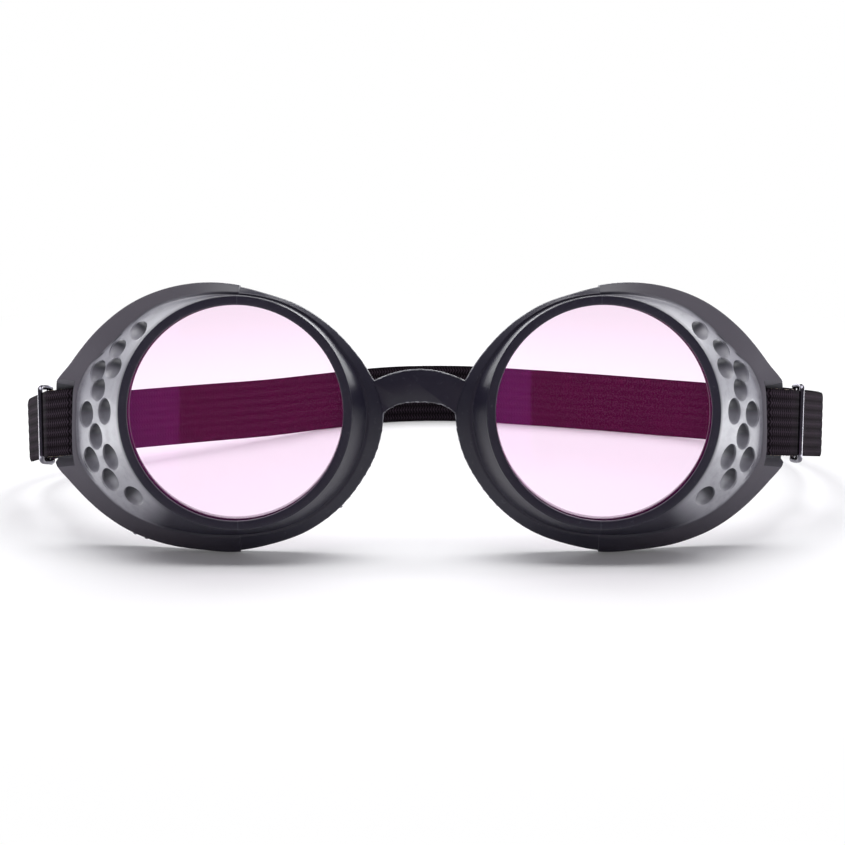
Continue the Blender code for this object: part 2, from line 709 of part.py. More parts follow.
def stand_on_floor(root, things):
    """Lean the goggles back on the floor, with the middle of their plan at the world's origin."""
    lean, height = stance()
    root.matrix_world = Matrix.Translation((0, 0, height)) @ lean
    bpy.context.view_layer.update()
    lows = [math.inf, math.inf]
    highs = [-math.inf, -math.inf]
    for thing in things:
        for vertex in thing.data.vertices:
            place = thing.matrix_world @ vertex.co
            for axis in range(2):
                lows[axis] = min(lows[axis], place[axis])
                highs[axis] = max(highs[axis], place[axis])
    middle = Vector((-(lows[0] + highs[0]) / 2, -(lows[1] + highs[1]) / 2, height))
    root.matrix_world = Matrix.Translation(middle) @ lean
    bpy.context.view_layer.update()


def main():
    """Build the goggles."""
    for thing in list(bpy.data.objects):
        bpy.data.objects.remove(thing, do_unlink=True)
    moulded = make_material("moulded_plastic", (0.055, 0.055, 0.065), 0.45)
    tinted = make_material("tinted_lens", (0.93, 0.72, 0.95), 0.03, alpha=0.35)
    ring_black = make_material("black_plastic", (0.02, 0.02, 0.022), 0.5)
    elastic = make_material("black_elastic", (0.018, 0.015, 0.018), 0.9)
    gunmetal = make_material("gunmetal", (0.22, 0.21, 0.24), 0.25, metallic=1.0)
    root = bpy.data.objects.new("goggles", None)
    bpy.context.scene.collection.objects.link(root)
    things = [make_frame(root, moulded), make_head_strap(root, elastic)]
    for name, side in SIDES.items():
        things.append(make_lens(name + "_lens", side, root, tinted))
        things.append(make_retaining_ring(name + "_retaining_ring", side, root, ring_black))
        things.append(make_slide(name + "_slide", name, root, gunmetal))
    stand_on_floor(root, things)


main()
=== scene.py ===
"""Looks of the flying goggles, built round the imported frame.

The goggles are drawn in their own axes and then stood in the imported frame's place. In those axes X runs
across the face, Y runs back from the plane of the bezels and Z runs up, with the origin midway between the
lens centres. A cup is drawn in polar form about its lens centre: 0 degrees points at the nose, 90 up and 180
at the temple. Left and right are the wearer's: the left cup is at +X. All lengths are in metres.
"""

import json
import logging
import math
from contextlib import contextmanager
from dataclasses import dataclass
from enum import Enum
from typing import Callable, Iterator, Sequence

import bmesh
import bpy
import numpy as np
from bpy.types import Material, Mesh, MeshVertex, Node, NodeSocket, Object
from mathutils import Matrix, Vector

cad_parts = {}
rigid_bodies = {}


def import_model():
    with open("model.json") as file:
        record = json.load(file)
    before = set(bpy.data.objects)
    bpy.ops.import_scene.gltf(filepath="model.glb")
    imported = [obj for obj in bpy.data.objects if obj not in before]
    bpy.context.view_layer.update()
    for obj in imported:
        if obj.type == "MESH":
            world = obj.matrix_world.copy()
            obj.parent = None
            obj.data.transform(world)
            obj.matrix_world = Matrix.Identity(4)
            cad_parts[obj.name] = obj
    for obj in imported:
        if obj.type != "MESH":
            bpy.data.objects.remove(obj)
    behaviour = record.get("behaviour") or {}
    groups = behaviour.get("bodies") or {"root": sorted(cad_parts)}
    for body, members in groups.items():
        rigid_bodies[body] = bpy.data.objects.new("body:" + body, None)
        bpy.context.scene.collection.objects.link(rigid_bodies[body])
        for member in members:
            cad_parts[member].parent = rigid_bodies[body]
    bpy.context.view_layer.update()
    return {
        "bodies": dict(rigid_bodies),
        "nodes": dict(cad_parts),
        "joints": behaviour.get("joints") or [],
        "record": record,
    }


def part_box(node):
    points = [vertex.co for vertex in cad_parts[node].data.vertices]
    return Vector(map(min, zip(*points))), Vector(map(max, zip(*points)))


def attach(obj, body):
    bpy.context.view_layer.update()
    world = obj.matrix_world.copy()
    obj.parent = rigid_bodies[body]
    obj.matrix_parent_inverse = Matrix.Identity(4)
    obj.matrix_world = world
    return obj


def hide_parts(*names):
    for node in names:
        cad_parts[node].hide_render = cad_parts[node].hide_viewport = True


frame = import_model()
LOG = logging.getLogger("goggles")
SMOOTH_ANGLE = 26.0
WIRE_ANGLE = 50.0
SOFT_ANGLE = 60.0


class Side(Enum):
    """A side of the wearer, with its sign along X."""

    LEFT = 1
    RIGHT = -1

    @property
    def word(self) -> str:
        """The side as it stands in the names of pieces."""
        return self.name.lower()

    def pick(self, pair: tuple) -> object:
        """This side's item of a pair that has the left one first."""
        return pair[0 if self is Side.LEFT else 1]


class Ends(Enum):
    """What is done with the two ends of a lofted skin."""

    CAPPED = "capped"
    JOINED = "joined"


class Cut(Enum):
    """How a tool solid acts on a piece."""

    JOIN = "UNION"
    CARVE = "DIFFERENCE"


class Body(Enum):
    """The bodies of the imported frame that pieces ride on."""

    GOGGLES = "goggles"
    LEFT_SLIDE = "left_slide"
    RIGHT_SLIDE = "right_slide"


# Tools of the modelling bench


def lay_down_tools() -> None:
    """Leave edit mode and deselect everything, as each new primitive and operator needs."""
    if bpy.context.mode != "OBJECT":
        bpy.ops.object.mode_set(mode="OBJECT")
    bpy.ops.object.select_all(action="DESELECT")


def pick_up(*things: Object) -> None:
    """Select only these objects, the first one active.

    Args:
        things: the objects to work on.
    """
    lay_down_tools()
    for thing in things:
        thing.select_set(True)
    bpy.context.view_layer.objects.active = things[0]


def named(name: str) -> Object:
    """Name the primitive that was just added.

    Args:
        name: its new name.

    Returns:
        The primitive's object.
    """
    thing = bpy.context.active_object
    thing.name = name
    thing.data.name = name
    return thing


@contextmanager
def editing(thing: Object) -> Iterator[None]:
    """Open one object in edit mode with nothing selected, and close it again.

    Args:
        thing: the object to edit.
    """
    pick_up(thing)
    bpy.ops.object.mode_set(mode="EDIT")
    bpy.ops.mesh.select_all(action="DESELECT")
    yield
    bpy.ops.object.mode_set(mode="OBJECT")


def extrude_ring(mesh: Mesh, ring: Sequence[bmesh.types.BMVert], places: Sequence[Vector]) -> list:
    """Extrude the selected ring of edges and set the new ring at its places.

    Args:
        mesh: the mesh that is open in edit mode.
        ring: the vertices of the selected ring, in order.
        places: where the new ring's vertices go, in the same order.

    Returns:
        The new ring's vertices, in order and selected.
    """
    bpy.ops.mesh.extrude_edges_indiv()
    bm = bmesh.from_edit_mesh(mesh)
    risen = []
    for vert, place in zip(ring, places):
        new = next(edge.other_vert(vert) for edge in vert.link_edges if edge.other_vert(vert).select)
        new.co = place
        risen.append(new)
    bmesh.update_edit_mesh(mesh, loop_triangles=False, destructive=True)
    return risen


def select_rings(mesh: Mesh, *rings: Sequence[bmesh.types.BMVert]) -> None:
    """Select whole rings of vertices with their edges, and nothing else.

    Args:
        mesh: the mesh that is open in edit mode.
        rings: the rings to select.
    """
    bpy.ops.mesh.select_all(action="DESELECT")
    bm = bmesh.from_edit_mesh(mesh)
    for ring in rings:
        for here, after in zip(ring, [*ring[1:], ring[0]]):
            here.select = True
            edge = bm.edges.get((here, after))
            if edge is not None:
                edge.select = True
    bm.select_flush_mode()
    bmesh.update_edit_mesh(mesh)


def loft(name: str, rings: Sequence[Sequence[Vector]], ends: Ends) -> Object:
    """Shape a circle into the first ring and extrude it through the others.

    Args:
        name: the new object's name.
        rings: rings of places, each with the same count.
        ends: whether the ends are capped or joined to each other.

    Returns:
        The closed skin, with its faces turned outwards.
    """
    lay_down_tools()
    bpy.ops.mesh.primitive_circle_add(vertices=len(rings[0]), fill_type="NOTHING")
    thing = named(name)
    with editing(thing):
        bpy.ops.mesh.select_mode(type="EDGE")
        bpy.ops.mesh.select_all(action="SELECT")
        bm = bmesh.from_edit_mesh(thing.data)
        bm.verts.ensure_lookup_table()
        first = list(bm.verts)
        for vert, place in zip(first, rings[0]):
            vert.co = place
        ring = first
        for places in rings[1:]:
            ring = extrude_ring(thing.data, ring, places)
        if ends is Ends.JOINED:
            select_rings(thing.data, first, ring)
            bpy.ops.mesh.bridge_edge_loops()
        else:
            for end in (first, ring):
                select_rings(thing.data, end)
                bpy.ops.mesh.edge_face_add()
        bpy.ops.mesh.select_all(action="SELECT")
        bpy.ops.mesh.normals_make_consistent(inside=False)
    return thing


def apply_modifier(thing: Object, kind: str, **settings: object) -> None:
    """Add a modifier to a piece and apply it.

    Args:
        thing: the piece.
        kind: the modifier's type.
        settings: the modifier's settings, by name.
    """
    modifier = thing.modifiers.new(kind.lower(), kind)
    for key, value in settings.items():
        setattr(modifier, key, value)
    pick_up(thing)
    bpy.ops.object.modifier_apply(modifier=modifier.name)


def put_away(tool: Object) -> None:
    """Remove an object that was only a tool or a pattern."""
    bpy.data.objects.remove(tool, do_unlink=True)


def work(thing: Object, tool: Object, cut: Cut) -> None:
    """Cut a tool solid out of a piece or join it on, exactly, and put the tool away.

    Args:
        thing: the piece.
        tool: the tool solid, which is removed.
        cut: what the tool does.
    """
    apply_modifier(thing, "BOOLEAN", object=tool, operation=cut.value, solver="EXACT")
    put_away(tool)


def join(name: str, things: Sequence[Object]) -> Object:
    """Join objects into one mesh.

    Args:
        name: the joined object's name.
        things: the objects, the first of which takes the others in.

    Returns:
        The joined object.
    """
    pick_up(*things)
    if len(things) > 1:
        bpy.ops.object.join()
    return named(name)


def copied(thing: Object, name: str, turn: Matrix) -> Object:
    """Copy a piece with a mesh of its own, set at a place.

    Args:
        thing: the piece to copy.
        name: the copy's name.
        turn: the transform of the copy's mesh. One that mirrors has its faces turned out again.

    Returns:
        The copy.
    """
    pick_up(thing)
    bpy.ops.object.duplicate(linked=False)
    copy = named(name)
    copy.data.transform(turn)
    if turn.determinant() < 0:
        copy.data.flip_normals()
    return copy


def settle(thing: Object, place: Matrix, angle: float = SMOOTH_ANGLE) -> None:
    """Move a piece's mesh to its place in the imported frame, and shade it smooth but for its sharp edges.

    Args:
        thing: the piece, drawn in its own axes. Its object is left at the origin.
        place: where those axes stand.
        angle: the turn in degrees from which an edge is sharp.
    """
    thing.matrix_world = place
    pick_up(thing)
    bpy.ops.object.transform_apply(location=True, rotation=True, scale=True)
    bpy.ops.object.shade_smooth_by_angle(angle=math.radians(angle))


def hand_over(
    thing: Object, body: Body, finish: Material, slot: str, *nodes: str,
) -> Object:
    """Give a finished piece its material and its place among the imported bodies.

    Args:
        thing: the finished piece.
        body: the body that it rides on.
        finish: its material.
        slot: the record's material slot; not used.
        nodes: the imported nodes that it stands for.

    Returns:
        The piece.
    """
    thing.data.materials.clear()
    thing.data.materials.append(finish)
    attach(thing, body.value)
    if nodes:
        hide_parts(*nodes)
    LOG.info("%s: %d faces on %s", thing.name, len(thing.data.polygons), body.value)
    return thing


# Curves and tables


def smoothstep(low: float, high: float, value: float) -> float:
    """Rise smoothly from 0 at low to 1 at high."""
    t = min(1.0, max(0.0, (value - low) / (high - low)))
    return t * t * (3 - 2 * t)


def plateau(fade: tuple, value: float) -> float:
    """Rise smoothly from 0 to 1 over a fade's first two values, and fall back to 0 over its last two."""
    start, full, end, gone = fade
    return smoothstep(start, full, value) * (1 - smoothstep(end, gone, value))


def smooth_table(shares: Sequence[tuple[float, float]], angle: float) -> float:
    """Read a closed table of angles and shares at any angle, on a smooth curve through them.

    Args:
        shares: rows of an angle in degrees and a share, in order.
        angle: the angle to read at.

    Returns:
        The share there.
    """
    angle %= 360
    count = len(shares)
    k = max(row for row in range(count) if shares[row][0] <= angle)
    rows = []
    for row in range(k - 1, k + 3):
        turns, row_in_turn = divmod(row, count)
        rows.append((shares[row_in_turn][0] + 360 * turns, shares[row_in_turn][1]))
    (a_at, a), (b_at, b), (c_at, c), (d_at, d) = rows
    t = (angle - b_at) / (c_at - b_at)
    b_slope = (c - a) / (c_at - a_at) * (c_at - b_at)
    c_slope = (d - b) / (d_at - b_at) * (c_at - b_at)
    square = 3 * (c - b) - 2 * b_slope - c_slope
    cube = 2 * (b - c) + b_slope + c_slope
    return b + t * (b_slope + t * (square + t * cube))


@dataclass(frozen=True)
class Corner:
    """A corner of a section, with the radius that it is rounded to and the points on that round."""

    place: Vector
    radius: float = 0.0
    steps: int = 1


def rounded(corners: Sequence[Corner]) -> list[Vector]:
    """Round the corners of a closed section.

    Args:
        corners: the section's corners, in order.

    Returns:
        The section's points. Their count depends only on the corners' steps.
    """
    points = []
    for k, corner in enumerate(corners):
        if corner.steps == 1:
            points.append(corner.place.copy())
            continue
        before = corners[k - 1].place - corner.place
        after = corners[(k + 1) % len(corners)].place - corner.place
        reach = min(corner.radius, 0.45 * before.length, 0.45 * after.length)
        start = corner.place + reach * before.normalized()
        end = corner.place + reach * after.normalized()
        for step in range(corner.steps):
            t = step / (corner.steps - 1)
            points.append((1 - t) ** 2 * start + 2 * t * (1 - t) * corner.place + t ** 2 * end)
    return points


# Forms that the pieces share


@dataclass(frozen=True)
class CupForm:
    """The shape of an eyecup, in polar form about its lens centre."""

    lens_radius: float = 0.0250
    lens_thickness: float = 0.0020
    fit_gap: float = 0.0003
    bezel_overlap: float = 0.0005
    bezel_thickness: float = 0.0012
    bezel_bevel: float = 0.0004
    barrel_wall: float = 0.0013
    barrel_round: float = 0.0008
    pocket_run: float = 0.0002
    retainer_depth: float = 0.0015
    nose_gap: float = 0.016834
    shell_wall: float = 0.0018
    lug_wall: float = 0.0034
    crease_inset: float = 0.0007
    crease_drop: float = 0.0004
    crease_lip: float = 0.0007
    shield_sag: float = 0.0005
    crest_depths: tuple = (0.0084, 0.0070, 0.0130)
    edge_depths: tuple = (0.0098, 0.0092, 0.0200)
    rim_depths: tuple = (0.0125, 0.0135, 0.0215)
    temple_curve: float = 1.5
    lug_fade: tuple = (157.0, 168.0, 200.0, 211.0)
    inner_edge: float = 0.8
    seam_inset: float = 0.0006
    seam_step: float = 0.00035
    seam_fade: float = 34.0
    seam_shares: tuple = (1.06, 1.18)
    bezel_round: float = 0.0001
    crest_round: float = 0.0005
    rim_round: float = 0.0004
    inside_round: float = 0.0008
    pocket_round: float = 0.0002
    shield_stops: tuple = (0.0, 0.06, 0.18, 0.34, 0.5, 0.66, 0.82)
    flange_stops: tuple = (0.33, 0.66)
    crest_shares: tuple = (
        (0, 1.135), (15, 1.102), (30, 1.053), (45, 1.038), (60, 1.026), (90, 1.026), (110, 1.071),
        (131, 1.162), (146, 1.211), (157, 1.282), (164, 1.357), (173, 1.406), (181, 1.414), (190, 1.436),
        (198, 1.451), (211, 1.380), (220, 1.327), (233, 1.237), (253, 1.130), (270, 1.090), (300, 1.113),
        (330, 1.139),
    )
    rim_shares: tuple = (
        (0, 1.255), (15, 1.188), (30, 1.120), (45, 1.077), (60, 1.053), (75, 1.047), (90, 1.086),
        (105, 1.145), (120, 1.222), (135, 1.316), (150, 1.417), (165, 1.541), (173, 1.650), (180, 1.665),
        (188, 1.679), (196, 1.706), (203, 1.635), (210, 1.573), (225, 1.459), (240, 1.346), (255, 1.256),
        (270, 1.226), (285, 1.203), (300, 1.207), (315, 1.218), (330, 1.231), (345, 1.254),
    )

    @property
    def barrel_radius(self) -> float:
        """Outer radius of the barrel round the lens."""
        return self.lens_radius + self.fit_gap + self.barrel_wall

    @property
    def bezel_radius(self) -> float:
        """Radius of the bezel's opening."""
        return self.lens_radius - self.bezel_overlap

    @property
    def pocket_radius(self) -> float:
        """Radius of the pocket that the lens lies in."""
        return self.lens_radius + self.fit_gap

    @property
    def lens_front(self) -> float:
        """Depth of the lens's front face."""
        return self.bezel_thickness + self.fit_gap

    @property
    def retainer_front(self) -> float:
        """Depth of the retaining ring's front face."""
        return self.lens_front + self.lens_thickness + self.fit_gap

    @property
    def pocket_end(self) -> float:
        """Depth at which the pocket ends."""
        return self.retainer_front + self.retainer_depth + self.pocket_run

    @property
    def spacing(self) -> float:
        """Distance between the lens centres."""
        return self.nose_gap + 2 * self.rim_shares[0][1] * self.barrel_radius

    @property
    def seam_angles(self) -> tuple[float, float]:
        """Angles of the mould's parting seam, at the cup's top and bottom.

        Returns:
            The angle at the top and the one at the bottom, in degrees.
        """
        top_share, bottom_share = self.seam_shares
        top = math.degrees(math.acos(self.seam_inset / (self.barrel_radius * top_share)))
        bottom = 360 - math.degrees(math.acos(self.seam_inset / (self.barrel_radius * bottom_share)))
        return top, bottom

    def temple_share(self, angle: float) -> float:
        """How far round to the temple an angle is: 0 on the nose's side, 1 at the temple."""
        return max(0.0, -math.cos(math.radians(angle))) ** self.temple_curve

    def depth_at(self, depths: tuple, angle: float) -> float:
        """A depth at an angle, blended from its values at the nose, the top and the temple.

        Args:
            depths: the depth at the nose, the top and the temple.
            angle: the angle in degrees.

        Returns:
            The depth.
        """
        nose, middle, temple = depths
        nose_share = max(0.0, math.cos(math.radians(angle)))
        return middle + nose_share * (nose - middle) + self.temple_share(angle) * (temple - middle)

    def seam_drop(self, angle: float) -> float:
        """How far the nasal half lies under the temple half, next to the parting seam.

        Args:
            angle: the angle in degrees.

        Returns:
            The drop.
        """
        top, bottom = self.seam_angles
        angle %= 360
        if angle < top:
            return self.seam_step * (1 - smoothstep(0, self.seam_fade, top - angle))
        if angle > bottom:
            return self.seam_step * (1 - smoothstep(0, self.seam_fade, angle - bottom))
        return 0.0

    def wall_at(self, angle: float) -> float:
        """The flange's wall, which is thicker at the lug, where the recess is sunk into it."""
        share = plateau(self.lug_fade, angle % 360)
        return self.shell_wall + share * (self.lug_wall - self.shell_wall)

    def crest_at(self, angle: float) -> Vector:
        """Radius and depth of the flange's inner edge."""
        radius = self.barrel_radius * smooth_table(self.crest_shares, angle)
        return Vector((radius, self.depth_at(self.crest_depths, angle)))

    def edge_at(self, angle: float) -> Vector:
        """Radius and depth of the flange's outer edge."""
        radius = self.barrel_radius * smooth_table(self.rim_shares, angle)
        return Vector((radius, self.depth_at(self.edge_depths, angle)))

    def crease_fall(self, angle: float) -> float:
        """How far the crease lies behind the line to the crest: a valley by the lug, or a lip above it."""
        share = plateau(self.lug_fade, angle % 360)
        return share * self.crease_drop - (1 - share) * self.crease_lip * self.temple_share(angle)

    def shield_at(self, angle: float, share: float) -> Vector:
        """A point of the side shield's dished face, from the barrel's front (0) out to the crease (1).

        Args:
            angle: the angle in degrees.
            share: how far out the point lies.

        Returns:
            Radius and depth.
        """
        crease = self.crest_at(angle) + Vector((-self.crease_inset, self.crease_fall(angle)))
        point = Vector((self.barrel_radius, self.barrel_round)).lerp(crease, share)
        point.y += self.shield_sag * self.temple_share(angle) * 4 * share * (1 - share)
        return point

    def section(self, angle: float) -> list[Vector]:
        """The cup's rounded section at an angle.

        Args:
            angle: the angle in degrees.

        Returns:
            A closed list of radius and depth.
        """
        crest = self.crest_at(angle)
        edge = self.edge_at(angle)
        rim_depth = self.depth_at(self.rim_depths, angle)
        wall = self.wall_at(angle)
        along = (edge - crest).normalized()
        inner_crest = crest + wall * Vector((-along.y, along.x))
        slope = along.x / along.y
        corner_depth = inner_crest.y + (edge.x - wall - inner_crest.x) / slope
        inner_depth = min(corner_depth, inner_crest.y + self.inner_edge * (rim_depth - inner_crest.y))
        inner_radius = inner_crest.x + slope * (inner_depth - inner_crest.y)
        rim_inner = min(edge.x - wall, inner_crest.x + slope * (rim_depth - inner_crest.y))
        drop = Vector((self.seam_drop(angle), 0))
        bezel = self.bezel_radius
        corners = [
            Corner(Vector((bezel, self.bezel_thickness)), self.bezel_round, 2),
            Corner(Vector((bezel, 0)), self.bezel_bevel, 6),
            Corner(Vector((self.barrel_radius, 0)), self.barrel_round, 9),
        ]
        corners += [Corner(self.shield_at(angle, share)) for share in self.shield_stops]
        corners += [
            Corner(self.shield_at(angle, 1), self.crest_round, 6),
            Corner(crest - drop / 2, self.crest_round, 7),
        ]
        corners += [Corner(crest.lerp(edge, share) - drop) for share in self.flange_stops]
        corners += [
            Corner(edge - drop, self.crest_round, 7),
            Corner(Vector((edge.x, rim_depth)) - drop, self.rim_round, 6),
            Corner(Vector((rim_inner, rim_depth)), self.rim_round, 5),
            Corner(Vector((inner_radius, inner_depth)), self.inside_round, 4),
            Corner(inner_crest, self.inside_round, 4),
            Corner(Vector((self.pocket_radius, self.pocket_end)), self.pocket_round, 3),
            Corner(Vector((self.pocket_radius, self.bezel_thickness))),
        ]
        return rounded(corners)

    def point(self, side: Side, angle: float, place: Vector) -> Vector:
        """Turn a cup's polar place into the goggles' axes.

        Args:
            side: whose cup it is.
            angle: the angle in degrees.
            place: radius and depth.

        Returns:
            The place in the goggles' axes.
        """
        across = self.spacing / 2 - place.x * math.cos(math.radians(angle))
        return Vector((side.value * across, place.y, place.x * math.sin(math.radians(angle))))


@dataclass(frozen=True)
class LugForm:
    """The lug that the webbing is looped through, in axes of its own: run, lift and level."""

    cup: CupForm
    webbing_width: float = 0.0155
    webbing_thickness: float = 0.0012
    webbing_gap: float = 0.0003
    level: float = -0.0030
    bar: float = 0.0016
    recess_depth: float = 0.0018
    wall_set_back: float = 0.0014
    side_gap: float = 0.00045
    side_flare: float = 0.0030
    spread: float = 0.0010
    slot_inset: float = 0.00015
    turn_set_back: float = 0.0005
    clear_run: float = 0.0105
    overrun: float = 0.0030

    @property
    def wall(self) -> float:
        """Thickness of the lug, from the flange's face to the seat behind the bar."""
        return self.recess_depth + self.bar

    @property
    def layer_offset(self) -> float:
        """Distance of each layer's middle from the middle of the bar."""
        return self.bar / 2 + self.webbing_gap + self.webbing_thickness / 2

    @property
    def slot_start(self) -> float:
        """Run at which the slot starts."""
        return self.wall_set_back + self.slot_inset

    @property
    def slot_length(self) -> float:
        """Length of the slot along the run."""
        return self.layer_offset + self.webbing_thickness / 2 - self.turn_set_back + self.webbing_gap

    @property
    def turn_run(self) -> float:
        """Run of the middle of the webbing's turn round the bar."""
        return self.slot_start + self.slot_length + self.turn_set_back

    @property
    def middle(self) -> float:
        """Lift of the bar's middle."""
        return -(self.recess_depth + self.bar / 2)

    @property
    def tool_end(self) -> float:
        """Run at which the tools end, past the rim."""
        return self.clear_run + self.overrun

    def axes(self) -> tuple[Vector, Vector, Vector]:
        """The left lug's axes in plan: its crest point, the way out along the flange, and outwards.

        Returns:
            The point and the two directions, in plan.
        """
        crest_radius = self.cup.barrel_radius * smooth_table(self.cup.crest_shares, 180)
        angle = 180 - math.degrees(math.asin(self.level / crest_radius))
        crest = self.cup.point(Side.LEFT, angle, self.cup.crest_at(angle))
        edge = self.cup.point(Side.LEFT, angle, self.cup.edge_at(angle))
        along = Vector((edge.x - crest.x, edge.y - crest.y)).normalized()
        return Vector((crest.x, crest.y)), along, Vector((along.y, -along.x))

    def angle(self) -> float:
        """The lug's direction in plan, from straight back towards the side, in radians."""
        along = self.axes()[1]
        return math.atan2(along.x, along.y)

    def place(self, side: Side, run: float, lift: float, level: float) -> Vector:
        """A place given in the lug's axes: run along the flange, lift off its face, and level.

        Args:
            side: the wearer's side.
            run: the place along the flange.
            lift: the height off its face.
            level: the level.

        Returns:
            The place in the goggles' axes.
        """
        crest, along, outwards = self.axes()
        plan = crest + run * along + lift * outwards
        return Vector((side.value * plan.x, plan.y, level))

    def half_at(self, run: float) -> float:
        """Half the height of the recess's floor, which spreads towards the rim."""
        share = (run - self.wall_set_back) / (self.tool_end - self.wall_set_back)
        return self.webbing_width / 2 + self.side_gap + share * self.spread

    def prism(self, name: str, side: Side, outline: Sequence[tuple[float, float, float]]) -> Object:
        """A tool solid in the lug's axes, level with the webbing.

        Args:
            name: its name.
            side: whose lug it is.
            outline: corners, each a run, a lift and a half height.

        Returns:
            The tool.
        """
        rings = [
            [self.place(side, run, lift, self.level + way * half) for run, lift, half in outline]
            for way in (-1, 1)
        ]
        return loft(name, rings, Ends.CAPPED)

    def recess_tool(self, side: Side) -> Object:
        """The tool that sinks the recess, with flared sides, open past the rim.

        Args:
            side: the wearer's side.

        Returns:
            The tool.
        """
        start, end = self.wall_set_back, self.tool_end
        flare = self.side_flare * (self.recess_depth + self.overrun) / self.recess_depth
        return self.prism("recess_tool", side, [
            (start, -self.recess_depth, self.half_at(start)),
            (end, -self.recess_depth, self.half_at(end)),
            (end, self.overrun, self.half_at(end) + flare),
            (start, self.overrun, self.half_at(start) + flare),
        ])

    def slot_tool(self, side: Side) -> Object:
        """The tool that cuts the slot and the flat seat behind the bar.

        Args:
            side: the wearer's side.

        Returns:
            The tool.
        """
        slot_end = self.slot_start + self.slot_length
        end = self.tool_end
        top = self.webbing_thickness - self.recess_depth
        back = -self.wall - self.overrun
        half = {run: self.half_at(run) - self.slot_inset for run in (self.slot_start, slot_end, end)}
        return self.prism("slot_tool", side, [
            (self.slot_start, top, half[self.slot_start]), (slot_end, top, half[slot_end]),
            (slot_end, -self.wall, half[slot_end]), (end, -self.wall, half[end]),
            (end, back, half[end]), (self.slot_start, back, half[self.slot_start]),
        ])


@dataclass(frozen=True)
class Station:
    """One section of the webbing: its middle, its upward direction, and how much thicker it is there."""

    place: Vector
    upward: Vector
    thick: float = 0.0


